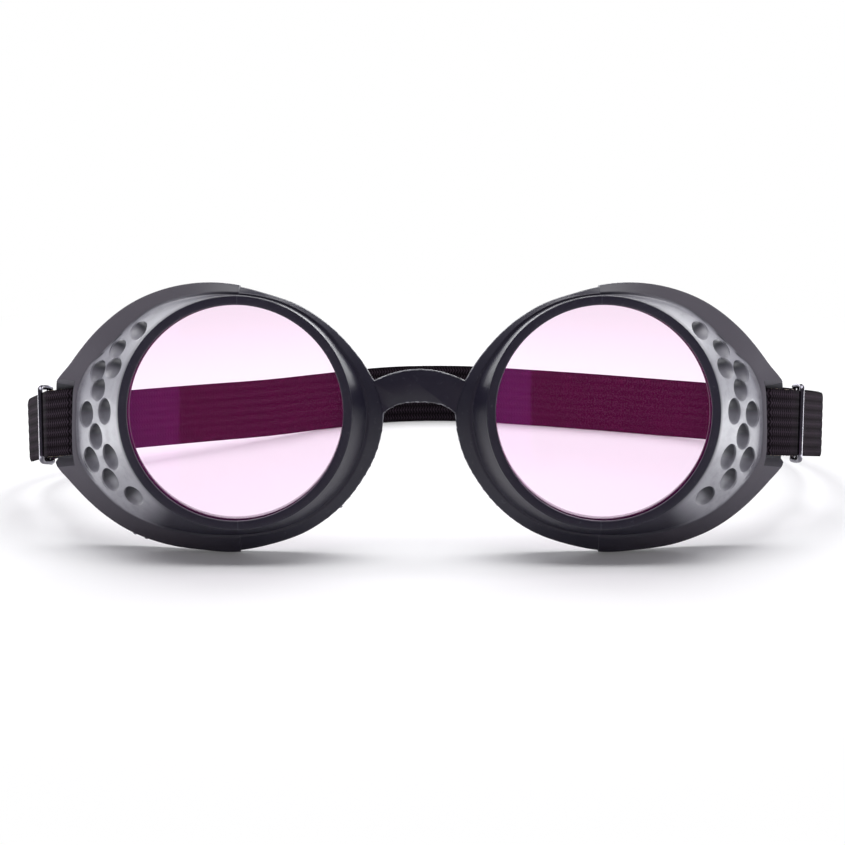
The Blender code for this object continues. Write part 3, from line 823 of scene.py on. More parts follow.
@dataclass(frozen=True)
class StrapForm:
    """The route of the webbing, from one hem through its lug and round the head to the other hem."""

    lug: LugForm
    lead_angles: tuple = (24.0, 16.0)
    droop_angles: tuple = (4.5, 6.5)
    lead_length: float = 0.0260
    hem_length: float = 0.0050
    bend_radius: float = 0.0035
    loop_spread: float = 0.013911
    loop_depth: float = 0.1300
    loop_lift: float = 0.0200
    lean_angle: float = 10.8
    step: float = 0.0045
    bend_steps: int = 6
    turn_steps: int = 16
    hem_stations: int = 5
    loop_shares: tuple = (
        (-0.964, 0.440, 0.420), (-0.948, 0.512, 0.330), (-0.890, 0.580, 0.260), (-0.800, 0.640, 0.210),
        (-0.697, 0.692, 0.175), (-0.550, 0.766, 0.120), (-0.405, 0.845, 0.055), (-0.250, 0.932, 0.008),
        (-0.080, 0.988, 0.006), (0.110, 0.996, 0.006), (0.300, 0.962, 0.006), (0.500, 0.917, 0.006),
        (0.670, 0.872, 0.008), (0.825, 0.802, 0.055), (0.930, 0.715, 0.160), (0.986, 0.610, 0.285),
        (0.998, 0.510, 0.420), (0.985, 0.430, 0.535),
    )

    @property
    def turn_end(self) -> int:
        """Number of the station at which a side's webbing has turned round its bar."""
        return self.hem_stations + (self.bend_steps + 1) + self.turn_steps

    def lead_angle(self, side: Side) -> float:
        """The direction in plan of a side's straight stretch, in radians."""
        return math.radians(side.pick(self.lead_angles))

    def droop(self, side: Side) -> float:
        """How steeply a side's webbing falls behind its slot, in radians."""
        return math.radians(side.pick(self.droop_angles))

    def lug_webbing(self, side: Side, run: float, lift: float) -> Vector:
        """A place on the webbing where it is looped through the lug, drooping from the slot outwards."""
        drop = math.tan(self.droop(side)) * (run - self.lug.turn_run)
        return self.lug.place(side, run, lift, self.lug.level - drop)

    def axes_at(self, side: Side, angle: float) -> tuple[Vector, Vector, Vector]:
        """The webbing's direction, outward normal and upward direction where it runs at an angle in plan.

        Args:
            side: the wearer's side.
            angle: its direction in plan, in radians.

        Returns:
            The three directions.
        """
        sign = side.value
        level = math.cos(self.droop(side))
        fall = -math.sin(self.droop(side))
        direction = Vector((sign * math.sin(angle) * level, math.cos(angle) * level, fall))
        normal = Vector((sign * math.cos(angle), -math.sin(angle), 0))
        return direction, normal, sign * normal.cross(direction)

    def lead(self, side: Side) -> tuple[Vector, Vector, Vector, Vector]:
        """Start, direction, outward normal and upward direction of a side's straight doubled stretch.

        Args:
            side: the wearer's side.

        Returns:
            The start and the three directions.
        """
        angle = self.lead_angle(side)
        direction, normal, upward = self.axes_at(side, angle)
        lug_normal = self.axes_at(side, self.lug.angle())[1]
        start = self.lug_webbing(side, self.lug.clear_run, self.lug.middle)
        start += self.bend_radius * (normal - lug_normal)
        start.z -= self.bend_radius * (self.lug.angle() - angle) * math.tan(self.droop(side))
        return start, direction, normal, upward

    def bend(self, side: Side, offset: float, share: float) -> Station:
        """A section in the bend from the straight stretch (0) to the lug (1), off the middle by an offset.

        Args:
            side: the wearer's side.
            offset: how far the layer lies off the middle.
            share: the place in the bend, from 0 to 1.

        Returns:
            The section.
        """
        start, _, normal, upward = self.lead(side)
        turn = share * (self.lug.angle() - self.lead_angle(side))
        turned = self.axes_at(side, self.lead_angle(side) + turn)[1]
        place = start - self.bend_radius * normal + (self.bend_radius + offset) * turned
        place.z += self.bend_radius * turn * math.tan(self.droop(side))
        return Station(place, upward.lerp(Vector((0, 0, 1)), share).normalized())

    def end_stations(self, side: Side) -> list[Station]:
        """The webbing from a hem, forward inside the lug, round its bar and back along the stretch.

        Args:
            side: the wearer's side.

        Returns:
            The stations, in order from the hem.
        """
        start, direction, normal, upward = self.lead(side)
        offset = self.lug.layer_offset
        hem_front = self.lead_length - self.hem_length
        stations = []
        for run, thick in (
            (self.lead_length, 1.0), (self.lead_length - self.hem_length / 2, 1.0), (hem_front, 1.0),
            (hem_front - self.lug.webbing_gap, 0.0), (hem_front / 2, 0.0),
        ):
            stations.append(Station(start + run * direction - offset * normal, upward, thick))
        stations += [self.bend(side, -offset, k / self.bend_steps) for k in range(self.bend_steps + 1)]
        for k in range(self.turn_steps + 1):
            angle = math.pi * k / self.turn_steps
            run = self.lug.turn_run - offset * math.sin(angle)
            lift = self.lug.middle - offset * math.cos(angle)
            stations.append(Station(self.lug_webbing(side, run, lift), Vector((0, 0, 1))))
        stations += [self.bend(side, offset, 1 - k / self.bend_steps) for k in range(self.bend_steps + 1)]
        for share in (0.25, 0.5, 0.75, 1.0):
            stations.append(Station(start + share * self.lead_length * direction + offset * normal, upward))
        return stations

    def loop_stations(
        self, before: Sequence[Station], after: Sequence[Station], height: float,
    ) -> list[Station]:
        """The loop round the head, on a smooth curve between the two straight stretches.

        Args:
            before: the last two stations of the right end.
            after: the first two stations of the left end.
            height: the origin's height over the floor.

        Returns:
            The loop's stations.
        """
        cup = self.lug.cup
        lean = Matrix.Rotation(-math.radians(self.lean_angle), 4, "X")
        floor_up = lean.inverted().to_3x3() @ Vector((0, 0, 1))
        temple = cup.barrel_radius * smooth_table(cup.rim_shares, 180)
        half_width = cup.spacing / 2 + temple + self.loop_spread
        places = [station.place for station in before]
        ups = [station.upward for station in before]
        for across, back, lift in self.loop_shares:
            plan = Vector((across * half_width, back * self.loop_depth, 0))
            level = self.lug.webbing_width / 2 + lift * self.loop_lift - height
            plan.z = (level - (lean @ plan).z) / math.cos(math.radians(self.lean_angle))
            places.append(plan)
            ups.append(floor_up)
        places += [station.place for station in after]
        ups += [station.upward for station in after]
        stations = []
        for k in range(1, len(places) - 2):
            a, b, c, d = places[k - 1:k + 3]
            steps = max(1, round((c - b).length / self.step))
            for step in range(steps):
                if k == 1 and step == 0:
                    continue
                t = step / steps
                place = b + t * (c - a + t * (2 * a - 5 * b + 4 * c - d + t * (3 * b - a - 3 * c + d))) / 2
                stations.append(Station(place, ups[k].lerp(ups[k + 1], t).normalized()))
        return stations

    def stations(self, height: float) -> list[Station]:
        """All the webbing's stations, from the right hem round to the left one.

        Args:
            height: the origin's height over the floor.

        Returns:
            The stations, in order.
        """
        right = self.end_stations(Side.RIGHT)
        left = self.end_stations(Side.LEFT)
        left.reverse()
        return right + self.loop_stations(right[-2:], left[:2], height) + left


@dataclass(frozen=True)
class Stance:
    """Where the goggles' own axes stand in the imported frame."""

    place: Matrix

    @classmethod
    def on_the_lenses(cls, cup: CupForm, lean_angle: float) -> "Stance":
        """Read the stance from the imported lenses, whose middles lie either side of the origin.

        Args:
            cup: the cup's sizes.
            lean_angle: how far the goggles lean back, in degrees.

        Returns:
            The stance.
        """
        lean = Matrix.Rotation(-math.radians(lean_angle), 4, "X")
        corners = [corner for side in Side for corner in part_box(side.word + "_lens")]
        middle = sum(corners, Vector()) / len(corners)
        back = cup.lens_front + cup.lens_thickness / 2
        return cls(Matrix.Translation(middle - lean @ Vector((0, back, 0))) @ lean)

    @property
    def height(self) -> float:
        """The origin's height over the floor."""
        return self.place.translation.z


# Finishes


class Flow:
    """A value on its way through a material's nodes. Arithmetic on it adds Math nodes."""

    def __init__(self, bench: "NodeBench", socket: NodeSocket) -> None:
        """Wrap an output socket.

        Args:
            bench: the material's node bench.
            socket: the socket that the value comes from.
        """
        self.bench = bench
        self.socket = socket

    def math(self, operation: str, *others: "Flow | float") -> "Flow":
        """Run the value through a Math node.

        Args:
            operation: the Math node's operation.
            others: its other inputs.

        Returns:
            The result.
        """
        return self.bench.math(operation, self, *others)

    def __add__(self, other: "Flow | float") -> "Flow":
        """Add."""
        return self.math("ADD", other)

    __radd__ = __add__

    def __mul__(self, other: "Flow | float") -> "Flow":
        """Multiply."""
        return self.math("MULTIPLY", other)

    __rmul__ = __mul__

    def __sub__(self, other: "Flow | float") -> "Flow":
        """Subtract."""
        return self.math("SUBTRACT", other)

    def __rsub__(self, other: "Flow | float") -> "Flow":
        """Subtract this from another."""
        return self.bench.math("SUBTRACT", other, self)

    def __truediv__(self, other: "Flow | float") -> "Flow":
        """Divide."""
        return self.math("DIVIDE", other)

    def __pow__(self, other: "Flow | float") -> "Flow":
        """Raise to a power."""
        return self.math("POWER", other)

    def __abs__(self) -> "Flow":
        """Take the absolute value."""
        return self.math("ABSOLUTE")

    def ramp(self, low: float, high: float) -> "Flow":
        """Rise smoothly from 0 at low to 1 at high, or fall where high is under low.

        Args:
            low: the value for 0.
            high: the value for 1.

        Returns:
            The result.
        """
        node = self.bench.node("ShaderNodeMapRange", {"interpolation_type": "SMOOTHSTEP"}, {
            "Value": self, "From Min": min(low, high), "From Max": max(low, high),
        })
        rise = Flow(self.bench, node.outputs["Result"])
        return rise if low < high else 1 - rise


class NodeBench:
    """A new material's node tree, and the nodes that are added to it."""

    def __init__(self, name: str) -> None:
        """Start a material with a Principled shader.

        Args:
            name: the material's name.
        """
        self.material = bpy.data.materials.new(name)
        self.material.use_nodes = True
        self.tree = self.material.node_tree
        self.shader = self.tree.nodes["Principled BSDF"]

    def node(self, kind: str, settings: dict | None = None, sockets: dict | None = None) -> Node:
        """Add any node.

        Args:
            kind: the node's type.
            settings: its own settings, set before its sockets. A ramp's stops go under "stops".
            sockets: values or flows of its inputs, by name or number.

        Returns:
            The node.
        """
        node = self.tree.nodes.new(kind)
        for key, value in (settings or {}).items():
            if key == "stops":
                for k, (at, colour) in enumerate(value):
                    stop = node.color_ramp.elements[k] if k < 2 else node.color_ramp.elements.new(at)
                    stop.position = at
                    stop.color = (*colour, 1)
            else:
                setattr(node, key, value)
        for key, value in (sockets or {}).items():
            if isinstance(value, Flow):
                self.tree.links.new(value.socket, node.inputs[key])
            else:
                node.inputs[key].default_value = value
        return node

    def math(self, operation: str, *values: "Flow | float") -> Flow:
        """Add a Math node."""
        node = self.node("ShaderNodeMath", {"operation": operation}, dict(enumerate(values)))
        return Flow(self, node.outputs[0])

    def mix(self, share: "Flow | float", first: object, second: object) -> Flow:
        """Mix two colours.

        Args:
            share: how much of the second.
            first: a colour or its flow.
            second: a colour or its flow.

        Returns:
            The mixed colour.
        """
        first, second = ((*c, 1) if isinstance(c, tuple) and len(c) == 3 else c for c in (first, second))
        node = self.node("ShaderNodeMix", {"data_type": "RGBA"}, {0: share, 6: first, 7: second})
        return Flow(self, node.outputs[2])

    def place(self, turn: tuple = (0, 0, 0), scale: tuple = (1, 1, 1), centre: tuple = (0, 0, 0)) -> Flow:
        """The piece's own coordinates, turned, scaled and centred by a Mapping node.

        Args:
            turn: the turn, in radians about each axis.
            scale: the scale along each axis.
            centre: the shift along each axis.

        Returns:
            The coordinates.
        """
        here = Flow(self, self.node("ShaderNodeTexCoord").outputs["Object"])
        node = self.node("ShaderNodeMapping", None, {
            "Vector": here, "Location": centre, "Rotation": turn, "Scale": scale,
        })
        return Flow(self, node.outputs["Vector"])

    def attribute(self, name: str) -> Flow:
        """A value that the mesh carries under a name."""
        return Flow(self, self.node("ShaderNodeAttribute", {"attribute_name": name}).outputs["Fac"])

    def noise(self, where: Flow, scale: float, detail: float = 2.0, roughness: float = 0.5) -> Flow:
        """Smooth noise from 0 to 1."""
        node = self.node("ShaderNodeTexNoise", None, {
            "Vector": where, "Scale": scale, "Detail": detail, "Roughness": roughness,
        })
        return Flow(self, node.outputs["Fac"])

    def split(self, vector: Flow) -> tuple[Flow, Flow, Flow]:
        """The three numbers of a vector."""
        node = self.node("ShaderNodeSeparateXYZ", None, {"Vector": vector})
        return tuple(Flow(self, output) for output in node.outputs)

    def bump(self, height: Flow, distance: float, strength: float = 1.0) -> Flow:
        """A normal that a height tilts."""
        node = self.node("ShaderNodeBump", None, {
            "Height": height, "Distance": distance, "Strength": strength,
        })
        return Flow(self, node.outputs["Normal"])

    def finish(self, **sockets: object) -> Material:
        """Set the shader's sockets, each word's capital and underscore standing for its name.

        Args:
            sockets: values or flows, such as base_color or coat_weight.

        Returns:
            The material.
        """
        for key, value in sockets.items():
            name = key.replace("_", " ").title().replace("Ior", "IOR")
            if isinstance(value, Flow):
                self.tree.links.new(value.socket, self.shader.inputs[name])
            elif isinstance(value, tuple) and len(value) == 3:
                self.shader.inputs[name].default_value = (*value, 1)
            else:
                self.shader.inputs[name].default_value = value
        return self.material


@dataclass(frozen=True)
class MouldedPlastic:
    """Dark grey moulded plastic: glossier round the lenses and the nose, less glossy on the shields and
    flanges, with painted sheen on the shields and painted shade in the scoops and recesses.
    """

    dark: tuple = (0.017, 0.015, 0.029)
    # Shield colour: painted sheen, far lighter than the dark plastic under it.
    satin: tuple = (0.275, 0.272, 0.307)
    flange: tuple = (0.061, 0.054, 0.069)
    # Painted shade of the scoops' hollows, which tones down the shields' painted sheen there.
    scoop_shade: tuple = (0.115, 0.113, 0.134)
    # Colour of the painted shade on the scoops' upper walls and in the recesses.
    shade: tuple = (0.010, 0.010, 0.016)
    mottle: tuple = (0.12, 0.12, 0.14)
    cloud: tuple = (0.11, 0.11, 0.13)
    mark: tuple = (0.16, 0.16, 0.19)
    gloss_roughness: float = 0.34
    satin_roughness: float = 0.42
    flange_roughness: float = 0.72
    seam_at: float = 0.0412
    seam_width: float = 0.00010
    grain_scale: float = 2600.0
    recess_edge: float = 0.00005

    def recess(self, bench: NodeBench, stance: Stance, lug: LugForm) -> Flow:
        """Painted shade on the walls of the recesses that the webbing comes out of.

        Args:
            bench: the material's node bench.
            stance: where the goggles stand.
            lug: the lug's sizes.

        Returns:
            1 inside the recesses and 0 elsewhere.
        """
        back = stance.place.inverted()
        here = bench.place(turn=tuple(back.to_euler()), centre=tuple(back.translation))
        across, deep, up = bench.split(here)
        crest, along, outwards = lug.axes()
        across, deep = abs(across) - crest.x, deep - crest.y
        run = across * along.x + deep * along.y
        lift = across * outwards.x + deep * outwards.y
        half = lug.half_at(0.0) + run * (lug.half_at(1.0) - lug.half_at(0.0))
        beside = abs(up - lug.level) - half - (lift / lug.recess_depth + 1) * lug.side_flare
        edge = self.recess_edge
        start, floor = lug.wall_set_back - 4 * edge, -lug.recess_depth - 8 * edge
        inside = beside.ramp(edge, -edge) * run.ramp(start, start + 2 * edge)
        return inside * lift.ramp(-edge, -3 * edge) * lift.ramp(floor, floor + 4 * edge)

    def make(self, stance: Stance, lug: LugForm) -> Material:
        """Build the material.

        Args:
            stance: where the goggles stand.
            lug: the lug's sizes.

        Returns:
            The material.
        """
        bench = NodeBench("moulded_plastic")
        here = bench.place()
        shield = bench.attribute("shield")
        flange = bench.attribute("flange")
        scoop = bench.attribute("scoop")
        # Painted shade on the upper walls of the scoops, as under light from above.
        wall = bench.attribute("scoop_wall")
        across, _, _ = bench.split(here)
        cloud = bench.noise(here, 70.0, 4.0, 0.6)
        grain = bench.noise(here, self.grain_scale, 2.0, 0.6)
        scuffs = bench.noise(bench.place(turn=(0.3, 0.5, 0.2), scale=(1.0, 0.16, 1.0)), 900.0, 3.0, 0.7)
        marks = scuffs.ramp(0.60, 0.72)
        mottle = bench.noise(here, 420.0, 3.0, 0.6).ramp(0.42, 0.70)
        seam = abs(abs(across - stance.place.translation.x) - self.seam_at).ramp(self.seam_width, 0.0)
        # The shields take their light colour as painted sheen; the shield mask also sets roughness and coat.
        colour = bench.mix(shield, self.dark, self.satin)
        # Over it: flange colour, painted shade in the scoops, random mottle, painted shade on the scoops'
        # upper walls and in the recesses, cloudy tone, scuff marks and the seam line.
        for share, over in (
            (flange, self.flange), (scoop * 0.6, self.scoop_shade), (mottle * shield * 0.35, self.mottle),
            (wall * 0.92, self.shade), (self.recess(bench, stance, lug) * 0.95, self.shade),
            (cloud.ramp(0.40, 0.80) * 0.10, self.cloud), (marks * 0.14, self.mark), (seam * 0.35, self.mark),
        ):
            colour = bench.mix(share, colour, over)
        roughness = self.gloss_roughness + shield * (self.satin_roughness - self.gloss_roughness)
        roughness = roughness + flange * (self.flange_roughness - self.gloss_roughness)
        roughness = roughness + cloud * 0.10 + marks * 0.12
        height = grain * 0.5 + seam * 0.9 + cloud * 0.4
        coat = shield * 0.65 * (1 - scoop * 0.6) * (1 - wall * 0.85)
        return bench.finish(
            base_color=colour, roughness=roughness, normal=bench.bump(height, 0.00004, 0.5), ior=1.5,
            specular_ior_level=0.40, coat_weight=coat, coat_roughness=0.42, coat_ior=1.9,
        )


@dataclass(frozen=True)
class FlashPlastic:
    """Thin torn flash, which is lighter than the moulding's faces: partly the flash's own colour, partly a
    painted highlight along the bridge's and noses' edges.
    """

    colour: tuple = (0.30, 0.30, 0.34)
    shade: tuple = (0.07, 0.07, 0.085)

    def make(self) -> Material:
        """Build the material.

        Returns:
            The material.
        """
        bench = NodeBench("flash_plastic")
        tear = bench.noise(bench.place(), 700.0, 3.0, 0.6)
        # The lighter colour is partly painted highlight, the bright line along the edges.
        colour = bench.mix(tear.ramp(0.42, 0.62), self.shade, self.colour)
        return bench.finish(
            base_color=colour, roughness=0.32 + tear * 0.2, normal=bench.bump(tear, 0.00005, 0.6),
        )


@dataclass(frozen=True)
class TintedLens:
    """Pale pink lens, which veils what is dark behind it with magenta through a painted glow in its surface.
    """

    clear: tuple = (1.0, 0.935, 1.0)
    tint: tuple = (0.98, 0.0, 0.36)
    rim_tint: tuple = (0.045, 0.004, 0.05)
    # Strength of the painted glow: the lens's surface glows in its tint, though it is no lamp.
    glow: float = 0.52
    veil: float = 0.031
    rim_veil: float = 0.55
    facing_gleam: float = 0.034
    gloss: tuple = (0.8, 0.42, 0.9)
    rim_painted_glow: tuple = (0.03, 0.0, 0.02)
    rim_band: tuple = (0.0007, 0.0004)
    haze_veil: float = 0.006

    def make(self, side: Side, radius: float, stance: Stance, spacing: float) -> Material:
        """Build one lens's material, whose tint deepens at its edge.

        Args:
            side: whose lens it is.
            radius: the lens's radius.
            stance: where the goggles stand.
            spacing: the distance between the lens centres.

        Returns:
            The material.
        """
        bench = NodeBench("tinted_lens_" + side.word)
        centre = stance.place @ Vector((side.value * spacing / 2, 0, 0))
        lean = stance.place.to_euler().x
        across, _, up = bench.split(bench.place())
        out = ((across - centre.x) ** 2.0 + ((up - centre.z) / math.cos(lean)) ** 2.0) ** 0.5
        rim = out.ramp(radius - self.rim_band[0], radius - self.rim_band[1])
        haze = bench.noise(bench.place(), 160.0, 3.0, 0.6)
        # The veil is how much of the lens's own shader, painted glow and all, lies over what shows through
        # it.
        veil = self.veil + rim * (self.rim_veil - self.veil) + haze.ramp(0.55, 0.9) * self.haze_veil
        tint = bench.mix(rim, self.tint, self.rim_tint)
        # The emission is the painted magenta glow, dimmer at the rim.
        bench.finish(
            base_color=tint, roughness=0.35 + haze * 0.1, specular_ior_level=0.0, emission_strength=self.glow,
            emission_color=bench.mix(rim.ramp(0.0, 0.1), self.tint, self.rim_painted_glow),
        )
        clear = bench.node("ShaderNodeBsdfTransparent", None, {"Color": (*self.clear, 1)})
        gloss = bench.node("ShaderNodeBsdfGlossy", None, {"Color": (*self.gloss, 1), "Roughness": 0.02})
        facing = Flow(bench, bench.node("ShaderNodeLayerWeight", None, {"Blend": 0.5}).outputs["Facing"])
        gleam = facing ** 5.0 * (1 - self.facing_gleam) + self.facing_gleam
        body = bench.node("ShaderNodeMixShader", None, {
            0: veil, 1: Flow(bench, clear.outputs[0]), 2: Flow(bench, bench.shader.outputs[0]),
        })
        faced = bench.node("ShaderNodeMixShader", None, {
            0: gleam, 1: Flow(bench, body.outputs[0]), 2: Flow(bench, gloss.outputs[0]),
        })
        output = bench.tree.nodes["Material Output"]
        bench.tree.links.new(faced.outputs[0], output.inputs["Surface"])
        return bench.material


@dataclass(frozen=True)
class RingPlastic:
    """Plain black plastic of the retaining rings."""

    colour: tuple = (0.020, 0.018, 0.022)
    cloud: tuple = (0.05, 0.048, 0.056)

    def make(self) -> Material:
        """Build the material.

        Returns:
            The material.
        """
        bench = NodeBench("black_plastic")
        here = bench.place()
        grain = bench.noise(here, 1800.0, 3.0, 0.6)
        cloud = bench.noise(here, 120.0, 3.0, 0.6)
        colour = bench.mix(cloud.ramp(0.4, 0.8) * 0.3, self.colour, self.cloud)
        return bench.finish(
            base_color=colour, roughness=0.42 + cloud * 0.15, normal=bench.bump(grain, 0.00003, 0.5),
        )


@dataclass(frozen=True)
class KnittedElastic:
    """Black ribbed elastic, with painted shade in the knit's grooves and a painted highlight on the yarn's
    crowns. Its pattern follows the webbing's own run and width, in metres.
    """

    # Painted shade in the knit's grooves, and the yarn's colour with a painted highlight on its crowns.
    groove_shade: tuple = (0.0040, 0.0030, 0.0040)
    yarn_and_highlight: tuple = (0.038, 0.0275, 0.038)
    fluff: tuple = (0.030, 0.022, 0.024)
    rows: int = 7
    stitch: float = 0.00076

    def swell(self, phase: Flow) -> Flow:
        """A wave between 0 and 1, for a phase in radians."""
        return phase.math("COSINE") * -0.5 + 0.5

    def make(self, length: float, width: float) -> Material:
        """Build the material.

        Args:
            length: the webbing's length.
            width: the webbing's width.

        Returns:
            The material.
        """
        bench = NodeBench("black_elastic")
        run, across, _ = bench.split(Flow(bench, bench.node("ShaderNodeTexCoord").outputs["UV"]))
        run = run * length
        across = across * width
        where = Flow(bench, bench.node("ShaderNodeCombineXYZ", None, {0: run, 1: across}).outputs[0])
        row_pitch = width / self.rows
        rows = self.swell(across * (math.tau / row_pitch))
        wales = self.swell(across * (math.tau * 3 / row_pitch))
        lean = (across * (math.tau * 1.5 / row_pitch)).math("SINE") * 0.7
        stitches = self.swell(run * (math.tau / self.stitch) + lean * 2.0)
        fuzz = bench.noise(where, 5200.0, 3.0, 0.7)
        wear = bench.noise(where, 260.0, 3.0, 0.6)
        knit = (0.50 + rows * 0.50) * (0.15 + wales * 0.15 + stitches * 0.70)
        # Painted shade in the grooves and painted highlight on the crowns, broken up by random fuzz.
        colour = bench.mix((knit * (0.1 + fuzz * 1.8)).ramp(0.12, 1.0), self.groove_shade, self.yarn_and_highlight)
        colour = bench.mix(fuzz.ramp(0.62, 0.80) * wear * 0.5, colour, self.fluff)
        height = knit + fuzz * 0.35
        return bench.finish(
            base_color=colour, roughness=0.82 + fuzz * 0.15, normal=bench.bump(height, 0.00012, 0.9),
            specular_ior_level=0.02,
        )


@dataclass(frozen=True)
class Thread:
    """Thread of the webbing's edges and hems."""

    name: str = "edge_thread"
    colour: tuple = (0.26, 0.20, 0.14)
    shade: tuple = (0.05, 0.038, 0.030)

    def make(self) -> Material:
        """Build the material.

        Returns:
            The material.
        """
        bench = NodeBench(self.name)
        twist = bench.noise(bench.place(), 4200.0, 2.0, 0.6)
        colour = bench.mix(twist.ramp(0.3, 0.7), self.shade, self.colour)
        return bench.finish(base_color=colour, roughness=0.8, normal=bench.bump(twist, 0.00005, 0.6))


@dataclass(frozen=True)
class GunmetalWire:
    """Dark plated wire of the strap slides."""

    colour: tuple = (0.16, 0.155, 0.18)
    worn: tuple = (0.45, 0.43, 0.43)
    tarnish: tuple = (0.07, 0.065, 0.08)

    def make(self) -> Material:
        """Build the material.

        Returns:
            The material.
        """
        bench = NodeBench("gunmetal")
        here = bench.place()
        draw = bench.noise(bench.place(scale=(1.0, 1.0, 0.12)), 2600.0, 3.0, 0.6)
        wear = bench.noise(here, 420.0, 4.0, 0.65)
        colour = bench.mix(wear.ramp(0.52, 0.78) * 0.6, self.colour, self.worn)
        colour = bench.mix(wear.ramp(0.42, 0.25) * 0.5, colour, self.tarnish)
        return bench.finish(
            base_color=colour, metallic=1.0, roughness=0.10 + draw * 0.14,
            normal=bench.bump(draw + wear * 0.5, 0.00003, 0.35),
        )


@dataclass(frozen=True)
class StudioWhite:
    """White table, which shows as white to the camera and still takes the goggles' shadow."""

    colour: tuple = (0.92, 0.92, 0.93)
    cloud: tuple = (0.89, 0.89, 0.91)
    glow: float = 0.10
    near: float = 0.085
    far: float = 0.24

    def make(self) -> Material:
        """Build the material.

        Returns:
            The material.
        """
        bench = NodeBench("studio_white")
        path = bench.node("ShaderNodeLightPath")
        seen = Flow(bench, path.outputs["Is Camera Ray"])
        seen = seen.math("MAXIMUM", Flow(bench, path.outputs["Is Glossy Ray"]))
        seen = seen.math("MAXIMUM", Flow(bench, path.outputs["Is Transmission Ray"]))
        here = bench.place()
        length = bench.node("ShaderNodeVectorMath", {"operation": "LENGTH"}, {0: here})
        away = Flow(bench, length.outputs["Value"])
        share = self.glow + away.ramp(self.near, self.far) * (1 - self.glow)
        cloud = bench.noise(here, 3.0, 2.0, 0.5)
        bench.finish(base_color=bench.mix(cloud * 0.03, self.colour, self.cloud), roughness=0.9)
        glow = bench.node("ShaderNodeEmission", None, {"Color": (1, 1, 1, 1), "Strength": 1.0})
        both = bench.node("ShaderNodeMixShader", None, {
            0: seen * share, 1: Flow(bench, bench.shader.outputs[0]), 2: Flow(bench, glow.outputs[0]),
        })
        out = bench.tree.nodes["Material Output"]
        bench.tree.links.new(both.outputs[0], out.inputs["Surface"])
        return bench.material


# Sub-assemblies


